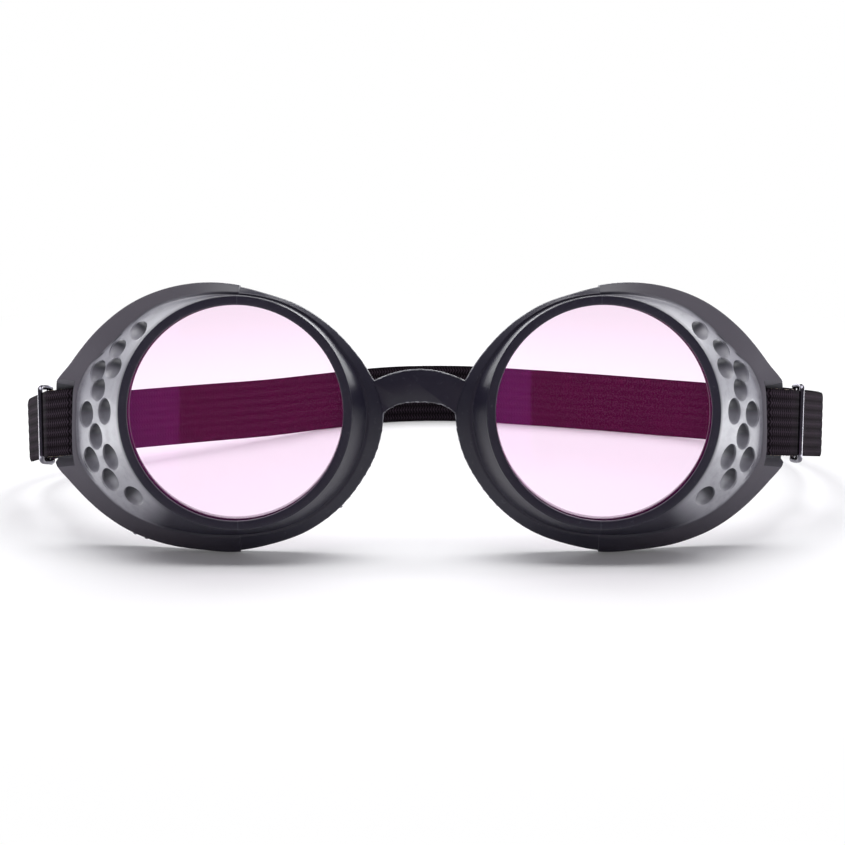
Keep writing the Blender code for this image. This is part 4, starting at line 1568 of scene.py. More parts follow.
@dataclass
class EyecupFrame:
    """The one moulding: both cups, their bezels and shields, the bridge and the lugs."""

    cup: CupForm
    lug: LugForm
    steps: int = 240
    seam_half: float = 0.16
    seam_clear: float = 0.6
    dimple_radius: float = 0.0030
    dimple_depth: float = 0.0018
    dimple_lip: float = 0.00011
    dimple_lip_slopes: tuple = (50.0, 32.0, 14.0)
    dimple_clear: float = 0.0022
    dimple_skew: float = 0.48
    scoop_fade: tuple = (0.00008, 0.0004)
    # Rise in a scoop over which its painted shade comes in, strongest at the top of the wall.
    wall_fade: tuple = (-0.30, 0.45)
    temple_fade: tuple = (84, 128, 232, 282)
    # Angles over which the shield zone, and with it the painted sheen, fades out towards the cup's foot.
    foot_fade: tuple = (221, 240)
    barrel_fade: tuple = (-0.0002, 0.0008)
    crest_fade: tuple = (-0.0003, 0.0002)
    outside_fade: tuple = (-0.35, 0.05)
    dimple_stops: tuple = (0.015, 0.15, 0.3, 0.45, 0.6, 0.8, 1.0)
    dimple_lip_stretches: tuple = (1, 1, 2.2)
    dimple_narrowing: float = 0.7
    dimple_steps: int = 40
    dimple_groups: int = 3
    dimple_shares: tuple = (
        (140.2, 0.55, 0.84, 1.32, 0.80), (152.4, 0.71, 0.86, 1.02, 0.62), (160.4, 0.42, 0.94, 1.10, 0.95),
        (164.3, 0.76, 0.97, 0.90, 0.95), (171.2, 0.57, 0.96, 0.92, 1.0), (179.8, 0.35, 1.04, 0.88, 1.0),
        (181.5, 0.80, 1.02, 0.86, 1.0), (190.2, 0.59, 1.04, 0.84, 1.0), (199.8, 0.37, 1.08, 0.88, 1.0),
        (198.6, 0.81, 1.06, 0.84, 1.0), (208.6, 0.68, 1.02, 0.92, 0.86), (219.4, 0.49, 0.90, 1.06, 1.0),
    )
    bridge_top: float = 0.0095
    bridge_under: float = 0.0019
    bridge_top_drop: float = 0.0026
    bridge_under_drop: float = 0.0026
    bridge_top_reach: float = 0.0104
    bridge_under_reach: float = 0.0083
    bridge_set_back: float = 0.0001
    bridge_thickness: float = 0.0025
    bridge_round: float = 0.0003
    bridge_seat_angles: tuple = (13.0, -4.0)
    bridge_steps: int = 14

    def angles(self) -> list[float]:
        """The angles of the cup's sections, with a close pair at each parting seam.

        Returns:
            The angles in degrees, in order.
        """
        seams = self.cup.seam_angles
        even = [360 * k / self.steps for k in range(self.steps)]
        kept = [angle for angle in even if all(abs(angle - seam) > self.seam_clear for seam in seams)]
        pairs = [seam + way * self.seam_half for seam in seams for way in (-1, 1)]
        return sorted(kept + pairs)

    def cup_skin(self, side: Side) -> Object:
        """One cup, drawn as rings round its lens and extruded from one to the next.

        Args:
            side: the wearer's side.

        Returns:
            The cup.
        """
        angles = self.angles()
        sections = [self.cup.section(angle) for angle in angles]
        rings = [
            [self.cup.point(side, angle, section[k]) for angle, section in zip(angles, sections)]
            for k in range(len(sections[0]))
        ]
        return loft(side.word + "_cup", rings, Ends.JOINED)

    def bridge_top_at(self, share: float) -> float:
        """Level of the bridge's top edge, from its middle (0) out to the flange (1)."""
        return self.bridge_top - self.bridge_top_drop * share ** 2

    def bridge_under_at(self, share: float) -> float:
        """Level of the bridge's lower edge, from its middle (0) out to the flange (1)."""
        return self.bridge_under - self.bridge_under_drop * share ** 3

    def bridge_outline(self) -> list[tuple[float, float]]:
        """The bridge's outline from the front, whose ends follow the flanges that it runs into.

        Returns:
            The outline's corners, each its place across and its level.
        """
        outline = []
        for k in range(self.bridge_steps + 1):
            share = k / self.bridge_steps
            outline.append((self.bridge_top_reach * share, self.bridge_top_at(share)))
        first, last = self.bridge_seat_angles
        for k in range(self.bridge_steps + 1):
            angle = first + (last - first) * k / self.bridge_steps
            radius = self.cup.edge_at(angle).x - self.cup.shell_wall / 2
            seat = self.cup.point(Side.LEFT, angle, Vector((radius, 0)))
            outline.append((seat.x, seat.z))
        for k in range(self.bridge_steps + 1):
            share = 1 - k / self.bridge_steps
            outline.append((self.bridge_under_reach * share, self.bridge_under_at(share)))
        return outline + [(-across, up) for across, up in reversed(outline) if across > 0]

    def bridge_blank(self) -> Object:
        """The bridge as a solid with rounded edges, to be joined to the cups.

        Returns:
            The blank.
        """
        outline = self.bridge_outline()
        middle_up = (self.bridge_top + self.bridge_under) / 2
        front = self.cup.depth_at(self.cup.edge_depths, 0) + self.bridge_set_back
        back = front + self.bridge_thickness
        rings = []
        for depth, inset in (
            (front, 1.0), (front + self.bridge_round * 0.3, 0.3), (front + self.bridge_round, 0.0),
            (back - self.bridge_round, 0.0), (back - self.bridge_round * 0.3, 0.3), (back, 1.0),
        ):
            ring = []
            for across, up in outline:
                pull = self.bridge_round * inset
                ring.append(Vector((across, depth, up - math.copysign(pull, up - middle_up))))
            rings.append(ring)
        return loft("bridge_blank", rings, Ends.CAPPED)

    def dimple_tool(self) -> Object:
        """One scoop's tool: a cap with a rounded lip, its mouth at the origin, its bottom off along Y.

        Returns:
            The tool.
        """
        radius, depth = self.dimple_radius, self.dimple_depth
        slopes = [math.radians(slope) for slope in self.dimple_lip_slopes]
        drop = self.dimple_lip * sum(math.sin(slope) for slope in slopes)
        ball = (radius ** 2 + depth ** 2) / (2 * depth)
        profile = []
        for share in self.dimple_stops:
            reach = math.acos((ball - depth + drop) / ball) * share
            profile.append((ball * math.sin(reach), ball - depth - ball * math.cos(reach)))
        for slope, stretch in zip(slopes, self.dimple_lip_stretches):
            out, level = profile[-1]
            step = self.dimple_lip * stretch
            profile.append((out + step * math.cos(slope), level + step * math.sin(slope)))
        profile.append((profile[-1][0] + self.dimple_lip, self.dimple_clear))
        rings = []
        for out, level in profile:
            ring = []
            for k in range(self.dimple_steps):
                turn = math.tau * k / self.dimple_steps
                rise = self.dimple_skew * max(0.0, -level)
                ring.append(Vector((out * math.cos(turn), out * math.sin(turn) + rise, level)))
            rings.append(ring)
        return loft("dimple_tool", rings, Ends.CAPPED)

    def dimple_place(
        self, side: Side, angle: float, share: float, wide: float, long: float, deep: float,
    ) -> Matrix:
        """Where a scoop's tool goes on a shield.

        Args:
            side: whose shield it is.
            angle: the scoop's angle in degrees.
            share: its place between the barrel and the crease.
            wide: its size round the lens, as a share of a full scoop.
            long: its size down the shield's slope, as a share of a full scoop.
            deep: its depth, as a share of a full scoop, less where the wall behind is thin.

        Returns:
            The tool's transform.
        """
        here = self.cup.point(side, angle, self.cup.shield_at(angle, share))
        outer = self.cup.point(side, angle, self.cup.shield_at(angle, 1))
        inner = self.cup.point(side, angle, self.cup.shield_at(angle, 0))
        turned = self.cup.point(side, angle + 1, self.cup.shield_at(angle + 1, share))
        normal = (outer - inner).cross(turned - here).normalized()
        if normal.y > 0:
            normal.negate()
        upward = normal.cross(outer - inner).normalized()
        if upward.z < 0:
            upward.negate()
        turn = Matrix((upward.cross(normal), upward, normal)).transposed().to_4x4()
        return Matrix.Translation(here) @ turn @ Matrix.Diagonal((long, wide, deep, 1))

    def scoop(self, thing: Object) -> None:
        """Scoop the dimples out of both shields, in groups whose tools don't touch.

        Args:
            thing: the moulding, in the goggles' own axes.
        """
        tool = self.dimple_tool()
        for group in range(self.dimple_groups):
            tools = [
                copied(tool, "dimple_cut", self.dimple_place(side, *row))
                for side in Side for row in self.dimple_shares[group::self.dimple_groups]
            ]
            work(thing, join("dimple_cuts", tools), Cut.CARVE)
        put_away(tool)

    def scoop_rise(self, angle: float, radius: float) -> float:
        """How high a place lies in its nearest scoop: about 1 at the top, 0 in the middle, -1 at the foot.

        Args:
            angle: the angle in degrees.
            radius: the distance from the lens's axis.

        Returns:
            The height, as a share of the scoop's radius.
        """
        best = None
        for at, share, wide, long, _ in self.dimple_shares:
            middle = self.cup.shield_at(at, share).x
            rise = math.radians(at - angle) * radius / (wide * self.dimple_radius)
            aside = (radius - middle) / (long * self.dimple_radius * self.dimple_narrowing)
            off = math.hypot(rise, aside)
            if best is None or off < best[0]:
                best = (off, rise)
        return best[1]

    def facing(self, vertex: MeshVertex, angle: float, slope: Vector) -> float:
        """How far a vertex faces out of the shield: 1 on its face, and under 0 on the wall inside the cup.

        Args:
            vertex: a vertex of the moulding.
            angle: the angle in degrees.
            slope: the shield's slope there, in radius and depth.

        Returns:
            The share.
        """
        turn = math.radians(angle)
        sign = math.copysign(1, vertex.co.x)
        radial = math.sin(turn) * vertex.normal.z - sign * math.cos(turn) * vertex.normal.x
        return (radial * slope.y - vertex.normal.y * slope.x) / slope.length

    def paint_zones(self, thing: Object) -> None:
        """Mark on the mesh how much of each point is shield, outer flange, scoop and a scoop's upper wall,
        for the material's painted sheen and painted shade.

        Args:
            thing: the moulding, in the goggles' own axes.
        """
        half = self.cup.spacing / 2
        barrel = self.cup.barrel_radius
        shields, flanges, scoops, wall_shades = [], [], [], []
        for vertex in thing.data.vertices:
            across = half - abs(vertex.co.x)
            radius = math.hypot(across, vertex.co.z)
            angle = math.degrees(math.atan2(vertex.co.z, across)) % 360
            crest = self.cup.crest_at(angle)
            temple = plateau(self.temple_fade, angle)
            past_barrel = smoothstep(barrel + self.barrel_fade[0], barrel + self.barrel_fade[1], radius)
            past_crest = smoothstep(crest.x + self.crest_fade[0], crest.x + self.crest_fade[1], radius)
            # The painted sheen fades out towards the foot, where the lower shield is darker.
            above = 1 - smoothstep(*self.foot_fade, angle)
            inner, outer = self.cup.shield_at(angle, 0), self.cup.shield_at(angle, 1)
            outside = smoothstep(*self.outside_fade, self.facing(vertex, angle, outer - inner))
            shields.append(temple * above * past_barrel * (1 - past_crest) * outside)
            flanges.append(temple * max(past_crest, 1 - outside))
            share = min(1.0, max(0.0, (radius - inner.x) / (outer.x - inner.x)))
            sunk = vertex.co.y - self.cup.shield_at(angle, share).y
            scoops.append(shields[-1] * smoothstep(*self.scoop_fade, sunk))
            # How high the point lies in its scoop, for the painted shade on the upper wall.
            rise = self.scoop_rise(angle, radius) if scoops[-1] > 0 else 0.0
            wall_shades.append(scoops[-1] * smoothstep(*self.wall_fade, rise))
        zones = {"shield": shields, "flange": flanges, "scoop": scoops, "scoop_wall": wall_shades}
        for name, values in zones.items():
            layer = thing.data.attributes.new(name, "FLOAT", "POINT")
            layer.data.foreach_set("value", values)

    def build(self, stance: Stance, finish: Material) -> Object:
        """Build the moulding.

        Args:
            stance: where the goggles stand.
            finish: the moulding's material.

        Returns:
            The finished piece.
        """
        thing = join("moulded_frame", [self.cup_skin(side) for side in Side])
        work(thing, self.bridge_blank(), Cut.JOIN)
        for side in Side:
            work(thing, self.lug.recess_tool(side), Cut.CARVE)
            work(thing, self.lug.slot_tool(side), Cut.CARVE)
        self.scoop(thing)
        self.paint_zones(thing)
        settle(thing, stance.place)
        return hand_over(thing, Body.GOGGLES, finish, "moulded_plastic", "frame")


@dataclass
class MouldFlash:
    """Thin flash that the mould left along the bridge and the cups' noses, and the nibs of its gates."""

    frame: EyecupFrame
    bead: float = 0.00016
    wobble: float = 0.00009
    sides: int = 8
    nib_size: float = 0.00050
    nibs: tuple = ((Side.RIGHT, 229.9), (Side.RIGHT, 234.1), (Side.RIGHT, 316.7))
    upper_reach: float = 62.0
    lower_reach: float = -64.0
    nose_start: float = 2.0
    bridge_points: int = 25
    points_a_nose: int = 60
    fade_points: int = 30
    waves: tuple = ((0.55, 2900, 0.0), (0.3, 5300, 1.3), (0.25, 1270, 0.4))

    def wave(self, run: float) -> float:
        """An uneven wave between about -1 and 1, for a place along the flash in metres."""
        return sum(size * math.sin(run * rate + start) for size, rate, start in self.waves)

    def nose_points(self, first: float, last: float, count: int) -> list[Vector]:
        """Points on the left cup's outer edge between two angles, seen as its front corner.

        Args:
            first: the first angle in degrees.
            last: the last angle in degrees.
            count: the number of points.

        Returns:
            The points, in order.
        """
        cup = self.frame.cup
        points = []
        for k in range(count):
            angle = first + (last - first) * k / (count - 1)
            edge = cup.edge_at(angle) - Vector((cup.seam_drop(angle), 0))
            points.append(cup.point(Side.LEFT, angle, edge + Vector((-self.bead, self.bead))))
        return points

    def line(self, lower: bool) -> list[Vector]:
        """One line of flash, over the right cup's nose, along the bridge's edge and over the left cup's nose.

        Args:
            lower: whether it is the line under the bridge or the one over it.

        Returns:
            The line's points.
        """
        frame = self.frame
        cup = frame.cup
        depth = cup.depth_at(cup.edge_depths, 0) + frame.bridge_set_back + self.bead
        if lower:
            seat, reach, far = frame.bridge_seat_angles[1], frame.bridge_under_reach, self.lower_reach
        else:
            seat, reach, far = frame.bridge_seat_angles[0], frame.bridge_top_reach, self.upper_reach
        half = []
        for k in range(self.bridge_points):
            share = k / (self.bridge_points - 1)
            if lower:
                up = frame.bridge_under_at(share) + self.bead
            else:
                up = frame.bridge_top_at(share) - self.bead
            half.append(Vector((reach * share, depth, up)))
        start = seat - self.nose_start if lower else seat + self.nose_start
        half += self.nose_points(start, far, self.points_a_nose)
        return [Vector((-place.x, place.y, place.z)) for place in reversed(half[1:])] + half

    def bead_along(self, name: str, points: Sequence[Vector]) -> Object:
        """An uneven bead along a line, fading out at both ends.

        Args:
            name: its name.
            points: the line.

        Returns:
            The bead.
        """
        rings = []
        run = 0.0
        for k, point in enumerate(points):
            before, after = points[max(0, k - 1)], points[min(len(points) - 1, k + 1)]
            run += (point - before).length
            tangent = (after - before).normalized()
            across = tangent.cross(Vector((0, 1, 0))).normalized()
            fade = min(1.0, 0.25 + min(k, len(points) - 1 - k) / self.fade_points)
            radius = self.bead * fade * (1 + 0.35 * self.wave(run + 0.01))
            centre = point + across * self.wobble * self.wave(run)
            ring = []
            for step in range(self.sides):
                turn = math.tau * step / self.sides
                ring.append(centre + radius * (math.cos(turn) * across + math.sin(turn) * Vector((0, 1, 0))))
            rings.append(ring)
        return loft(name, rings, Ends.CAPPED)

    def nib(self, side: Side, angle: float) -> Object:
        """A torn nib on a cup's outer edge.

        Args:
            side: whose cup it is on.
            angle: its angle in degrees.

        Returns:
            The nib.
        """
        cup = self.frame.cup
        edge = cup.edge_at(angle)
        centre = cup.point(side, angle, edge + Vector((-self.nib_size * 0.35, self.nib_size * 1.4)))
        lay_down_tools()
        bpy.ops.mesh.primitive_ico_sphere_add(subdivisions=3, radius=self.nib_size, location=centre)
        thing = named("nib")
        with editing(thing):
            bpy.ops.mesh.select_all(action="SELECT")
            bpy.ops.transform.resize(value=(1.2, 1.5, 0.8))
            bpy.ops.transform.vertex_random(offset=self.nib_size * 0.12, seed=round(angle))
        pick_up(thing)
        bpy.ops.object.transform_apply(location=True, rotation=True, scale=True)
        return thing

    def build(self, stance: Stance, finish: Material) -> Object:
        """Build the flash and nibs.

        Args:
            stance: where the goggles stand.
            finish: their material.

        Returns:
            The finished piece.
        """
        parts = [self.bead_along("flash_line", self.line(lower)) for lower in (False, True)]
        parts += [self.nib(side, angle) for side, angle in self.nibs]
        thing = join("mould_flash", parts)
        settle(thing, stance.place, SOFT_ANGLE)
        return hand_over(thing, Body.GOGGLES, finish, "moulded_plastic")


@dataclass
class LensUnit:
    """A lens and the ring that holds it from behind."""

    cup: CupForm
    side: Side
    steps: int = 192
    lens_bevel: float = 0.0003
    ring_width: float = 0.0006
    ring_bevel: float = 0.0002

    def turned(self, name: str, corners: Sequence[Corner], start: float, ends: Ends) -> Object:
        """Turn a section about the lens's axis.

        Args:
            name: the new object's name.
            corners: the section, in radius and depth behind the start.
            start: the depth that the section starts at.
            ends: whether the section closes on itself or is capped at the axis.

        Returns:
            The turned solid.
        """
        rings = []
        for point in rounded(corners):
            ring = []
            for k in range(self.steps):
                place = Vector((point.x, start + point.y))
                ring.append(self.cup.point(self.side, 360 * k / self.steps, place))
            rings.append(ring)
        return loft(name, rings, ends)

    def build(self, stance: Stance, glass: Material, black: Material) -> list:
        """Build the lens and its ring.

        Args:
            stance: where the goggles stand.
            glass: the lens's material.
            black: the ring's material.

        Returns:
            Both pieces.
        """
        outer, thick, bevel = self.cup.lens_radius, self.cup.lens_thickness, self.lens_bevel
        word = self.side.word
        lens = self.turned(word + "_tinted_lens", [
            Corner(Vector((outer - 2 * bevel, 0))), Corner(Vector((outer, 0)), bevel, 3),
            Corner(Vector((outer, thick)), bevel, 3), Corner(Vector((outer - 2 * bevel, thick))),
        ], self.cup.lens_front, Ends.CAPPED)
        inner, depth, round_off = outer - self.ring_width, self.cup.retainer_depth, self.ring_bevel
        ring = self.turned(word + "_lens_ring", [
            Corner(Vector((inner, 0)), round_off, 4), Corner(Vector((outer, 0)), round_off, 3),
            Corner(Vector((outer, depth)), round_off, 3), Corner(Vector((inner, depth)), round_off, 4),
        ], self.cup.retainer_front, Ends.JOINED)
        made = []
        for thing, finish, slot, node in (
            (lens, glass, "tinted_lens", "_lens"), (ring, black, "black_plastic", "_retaining_ring"),
        ):
            settle(thing, stance.place)
            made.append(hand_over(thing, Body.GOGGLES, finish, slot, word + node))
        return made


@dataclass
class Webbing:
    """The ribbed elastic, knitted flat at its full length and then laid along its route."""

    form: StrapForm
    pitch: float = 0.00038
    columns: int = 28
    rows: int = 7
    rib_depth: float = 0.00008
    stitch_depth: float = 0.00003
    stitch: float = 0.00152
    edge_share: float = 0.45
    edge_power: int = 14
    fine_steps: int = 4000
    smoothing: int = 9
    thread_seed: int = 7
    thread_size: tuple = (0.00080, 0.00007, 0.00016)
    thread_rings: int = 7
    thread_sides: int = 6
    thread_count: int = 15
    thread_start: float = 0.0006
    thread_pitch: float = 0.00075
    thread_inset: float = 0.00012
    hem_stitch_size: tuple = (0.0013, 0.00013, 0.00010)
    hem_rows: tuple = (0.0014, 0.0036)
    hem_count: int = 8
    hem_spread: float = 8.6
    hem_sink: float = 0.00006

    def route(self, height: float) -> dict[str, np.ndarray]:
        """The route as arrays of runs, places, upward directions and thicknesses.

        Args:
            height: the origin's height over the floor.

        Returns:
            The arrays, by name.
        """
        stations = self.form.stations(height)
        places = np.array([station.place for station in stations])
        ups = np.array([station.upward for station in stations])
        thick = np.array([station.thick for station in stations])
        runs = np.concatenate(([0.0], np.cumsum(np.linalg.norm(np.diff(places, axis=0), axis=1))))
        return {"runs": runs, "places": places, "ups": ups, "thick": thick}

    def band(self, length: float) -> Object:
        """The flat band: a fine grid with a wall.

        Args:
            length: the webbing's length.

        Returns:
            The band, centred on the origin.
        """
        width = self.form.lug.webbing_width
        lay_down_tools()
        bpy.ops.mesh.primitive_grid_add(
            x_subdivisions=round(length / self.pitch), y_subdivisions=self.columns, size=1.0, calc_uvs=True,
        )
        thing = named("webbing")
        with editing(thing):
            bpy.ops.mesh.select_all(action="SELECT")
            bpy.ops.transform.resize(value=(length, width, 1.0))
        apply_modifier(thing, "SOLIDIFY", thickness=self.form.lug.webbing_thickness, offset=0.0)
        return thing

    def relief(self, run: np.ndarray, across: np.ndarray) -> np.ndarray:
        """How far the knit sinks under the webbing's face, in rows along it with stitches across them.

        Args:
            run: places along the webbing.
            across: places across it, from its middle.

        Returns:
            The depth at each place.
        """
        width = self.form.lug.webbing_width
        share = (across / width + 0.5) * self.rows
        rows = np.abs(np.cos(np.pi * share)) ** 3
        stitches = 0.5 + 0.5 * np.cos(math.tau * (run / self.stitch + 0.5 * np.cos(math.tau * share)))
        return self.rib_depth * rows + self.stitch_depth * stitches

    def sampled(self, at: np.ndarray, runs: np.ndarray, rows: np.ndarray) -> np.ndarray:
        """Rows of three numbers read at new runs, straight between the runs that they are given at."""
        return np.stack([np.interp(at, runs, rows[:, k]) for k in range(3)], 1)

    def lay(self, thing: Object, route: dict[str, np.ndarray]) -> None:
        """Give the flat band its relief and lay it along the route.

        Args:
            thing: the flat band.
            route: the route's arrays.
        """
        lug = self.form.lug
        count = len(thing.data.vertices)
        flat = np.zeros(count * 3)
        thing.data.vertices.foreach_get("co", flat)
        flat = flat.reshape(-1, 3)
        run = flat[:, 0] + route["runs"][-1] / 2
        across = flat[:, 1]
        half = lug.webbing_thickness / 2
        edge = np.abs(across) / (lug.webbing_width / 2)
        face = (half - self.relief(run, across)) * (1 - self.edge_share * edge ** self.edge_power)
        sign = np.sign(flat[:, 2])
        thick = np.interp(run, route["runs"], route["thick"])
        lift = sign * face + np.where(sign > 0, thick * lug.webbing_thickness, 0.0)
        fine = np.linspace(0, route["runs"][-1], self.fine_steps)
        places = self.sampled(fine, route["runs"], route["places"])
        kernel = np.hanning(self.smoothing) / np.hanning(self.smoothing).sum()
        margin = self.smoothing // 2
        padded = np.pad(places, ((margin, margin), (0, 0)), mode="reflect", reflect_type="odd")
        places = np.stack([np.convolve(padded[:, k], kernel, "valid") for k in range(3)], 1)
        tangents = np.gradient(places, axis=0)
        tangents /= np.linalg.norm(tangents, axis=1, keepdims=True)
        ups = self.sampled(fine, route["runs"], route["ups"])
        ups /= np.linalg.norm(ups, axis=1, keepdims=True)
        normals = np.cross(tangents, ups)
        normals /= np.linalg.norm(normals, axis=1, keepdims=True)
        at = [self.sampled(run, fine, rows) for rows in (places, ups, normals)]
        laid = at[0] + across[:, None] * at[1] + lift[:, None] * at[2]
        thing.data.vertices.foreach_set("co", laid.ravel())
        thing.data.update()

    def thread(self, name: str, length: float, radius: float, rise: float) -> Object:
        """One short thread along X, arched along Z.

        Args:
            name: its name.
            length: its length.
            radius: its radius.
            rise: how high its middle stands over its ends.

        Returns:
            The thread.
        """
        rings = []
        for k in range(self.thread_rings):
            share = k / (self.thread_rings - 1)
            thin = radius * (0.35 + 0.65 * math.sin(math.pi * (0.08 + 0.84 * share)))
            ring = []
            for step in range(self.thread_sides):
                turn = math.tau * step / self.thread_sides
                ring.append(Vector((
                    length * (share - 0.5), thin * math.cos(turn),
                    rise * math.sin(math.pi * share) + thin * math.sin(turn),
                )))
            rings.append(ring)
        return loft(name, rings, Ends.CAPPED)

    def turn_at(self, route: dict[str, np.ndarray], run: float, across: float, lift: float) -> Matrix:
        """Axes on the webbing: X along it, Y across it and Z out of its face.

        Args:
            route: the route's arrays.
            run: the place along the webbing.
            across: the place across it.
            lift: the height over its middle.

        Returns:
            The axes at that place.
        """
        def read(key: str, at: float) -> Vector:
            """One of the route's arrays at a run."""
            return Vector([float(np.interp(at, route["runs"], route[key][:, k])) for k in range(3)])

        step = self.pitch
        tangent = (read("places", run + step) - read("places", run - step)).normalized()
        upward = read("ups", run).normalized()
        normal = tangent.cross(upward).normalized()
        turn = Matrix((tangent, normal.cross(tangent), normal)).transposed().to_4x4()
        return Matrix.Translation(read("places", run) + across * upward + lift * normal) @ turn

    def edge_threads(self, route: dict[str, np.ndarray]) -> Object:
        """Loose threads along both edges of the outer layers, from the slots towards the slides.

        Args:
            route: the route's arrays.

        Returns:
            The threads, joined.
        """
        rng = np.random.default_rng(self.thread_seed)
        unit = self.thread("edge_thread", *self.thread_size)
        turn_end = self.form.turn_end
        half = self.form.lug.webbing_width / 2
        made = []
        for start, way in ((route["runs"][turn_end], 1), (route["runs"][-1 - turn_end], -1)):
            for edge in (-1, 1):
                for k in range(self.thread_count):
                    stray = rng.uniform(-0.0002, 0.0002)
                    run = start + way * (self.thread_start + self.thread_pitch * k + stray)
                    across = edge * (half - self.thread_inset)
                    lift = rng.uniform(-0.00035, 0.00055)
                    axes = self.turn_at(route, run, across, lift)
                    spin = Matrix.Rotation(rng.uniform(-0.5, 0.5), 4, "Z")
                    spin = spin @ Matrix.Rotation(-edge * rng.uniform(0.6, 1.9), 4, "X")
                    made.append(copied(unit, "edge_thread_copy", axes @ spin))
        put_away(unit)
        return join("edge_threads", made)

    def hem_stitches(self, route: dict[str, np.ndarray]) -> Object:
        """Two rows of stitches over each hem.

        Args:
            route: the route's arrays.

        Returns:
            The stitches, joined.
        """
        lug = self.form.lug
        unit = self.thread("hem_stitch", *self.hem_stitch_size)
        across_turn = Matrix.Rotation(math.pi / 2, 4, "Z")
        half = lug.webbing_thickness / 2
        faces = ((2 * half + half - self.hem_sink, 0.0), (-half + self.hem_sink, math.pi))
        made = []
        for end, way in ((0.0, 1), (route["runs"][-1], -1)):
            for row in self.hem_rows:
                for k in range(self.hem_count):
                    across = (k - (self.hem_count - 1) / 2) * lug.webbing_width / self.hem_spread
                    for lift, flip in faces:
                        axes = self.turn_at(route, end + way * row, across, lift)
                        turned = axes @ Matrix.Rotation(flip, 4, "X") @ across_turn
                        made.append(copied(unit, "hem_stitch_copy", turned))
        put_away(unit)
        return join("hem_stitches", made)

    def trim(self, stance: Stance, beige: Material, black: Material) -> None:
        """Add the threads and stitches to the webbing.

        Args:
            stance: where the goggles stand.
            beige: the loose threads' material.
            black: the stitches' material.
        """
        route = self.route(stance.height)
        for thing, finish in ((self.edge_threads(route), beige), (self.hem_stitches(route), black)):
            settle(thing, stance.place, SOFT_ANGLE)
            hand_over(thing, Body.GOGGLES, finish, "black_elastic")

    def build(self, stance: Stance, finish: Callable[[float, float], Material]) -> Object:
        """Build the webbing.

        Args:
            stance: where the goggles stand.
            finish: makes the material from the webbing's length and width.

        Returns:
            The finished piece.
        """
        route = self.route(stance.height)
        length = float(route["runs"][-1])
        thing = self.band(length)
        self.lay(thing, route)
        with editing(thing):
            bpy.ops.mesh.select_all(action="SELECT")
            bpy.ops.mesh.normals_make_consistent(inside=False)
        settle(thing, stance.place, SOFT_ANGLE)
        LOG.info("webbing length %.4f", length)
        material = finish(length, self.form.lug.webbing_width)
        return hand_over(thing, Body.GOGGLES, material, "black_elastic", "head_strap")


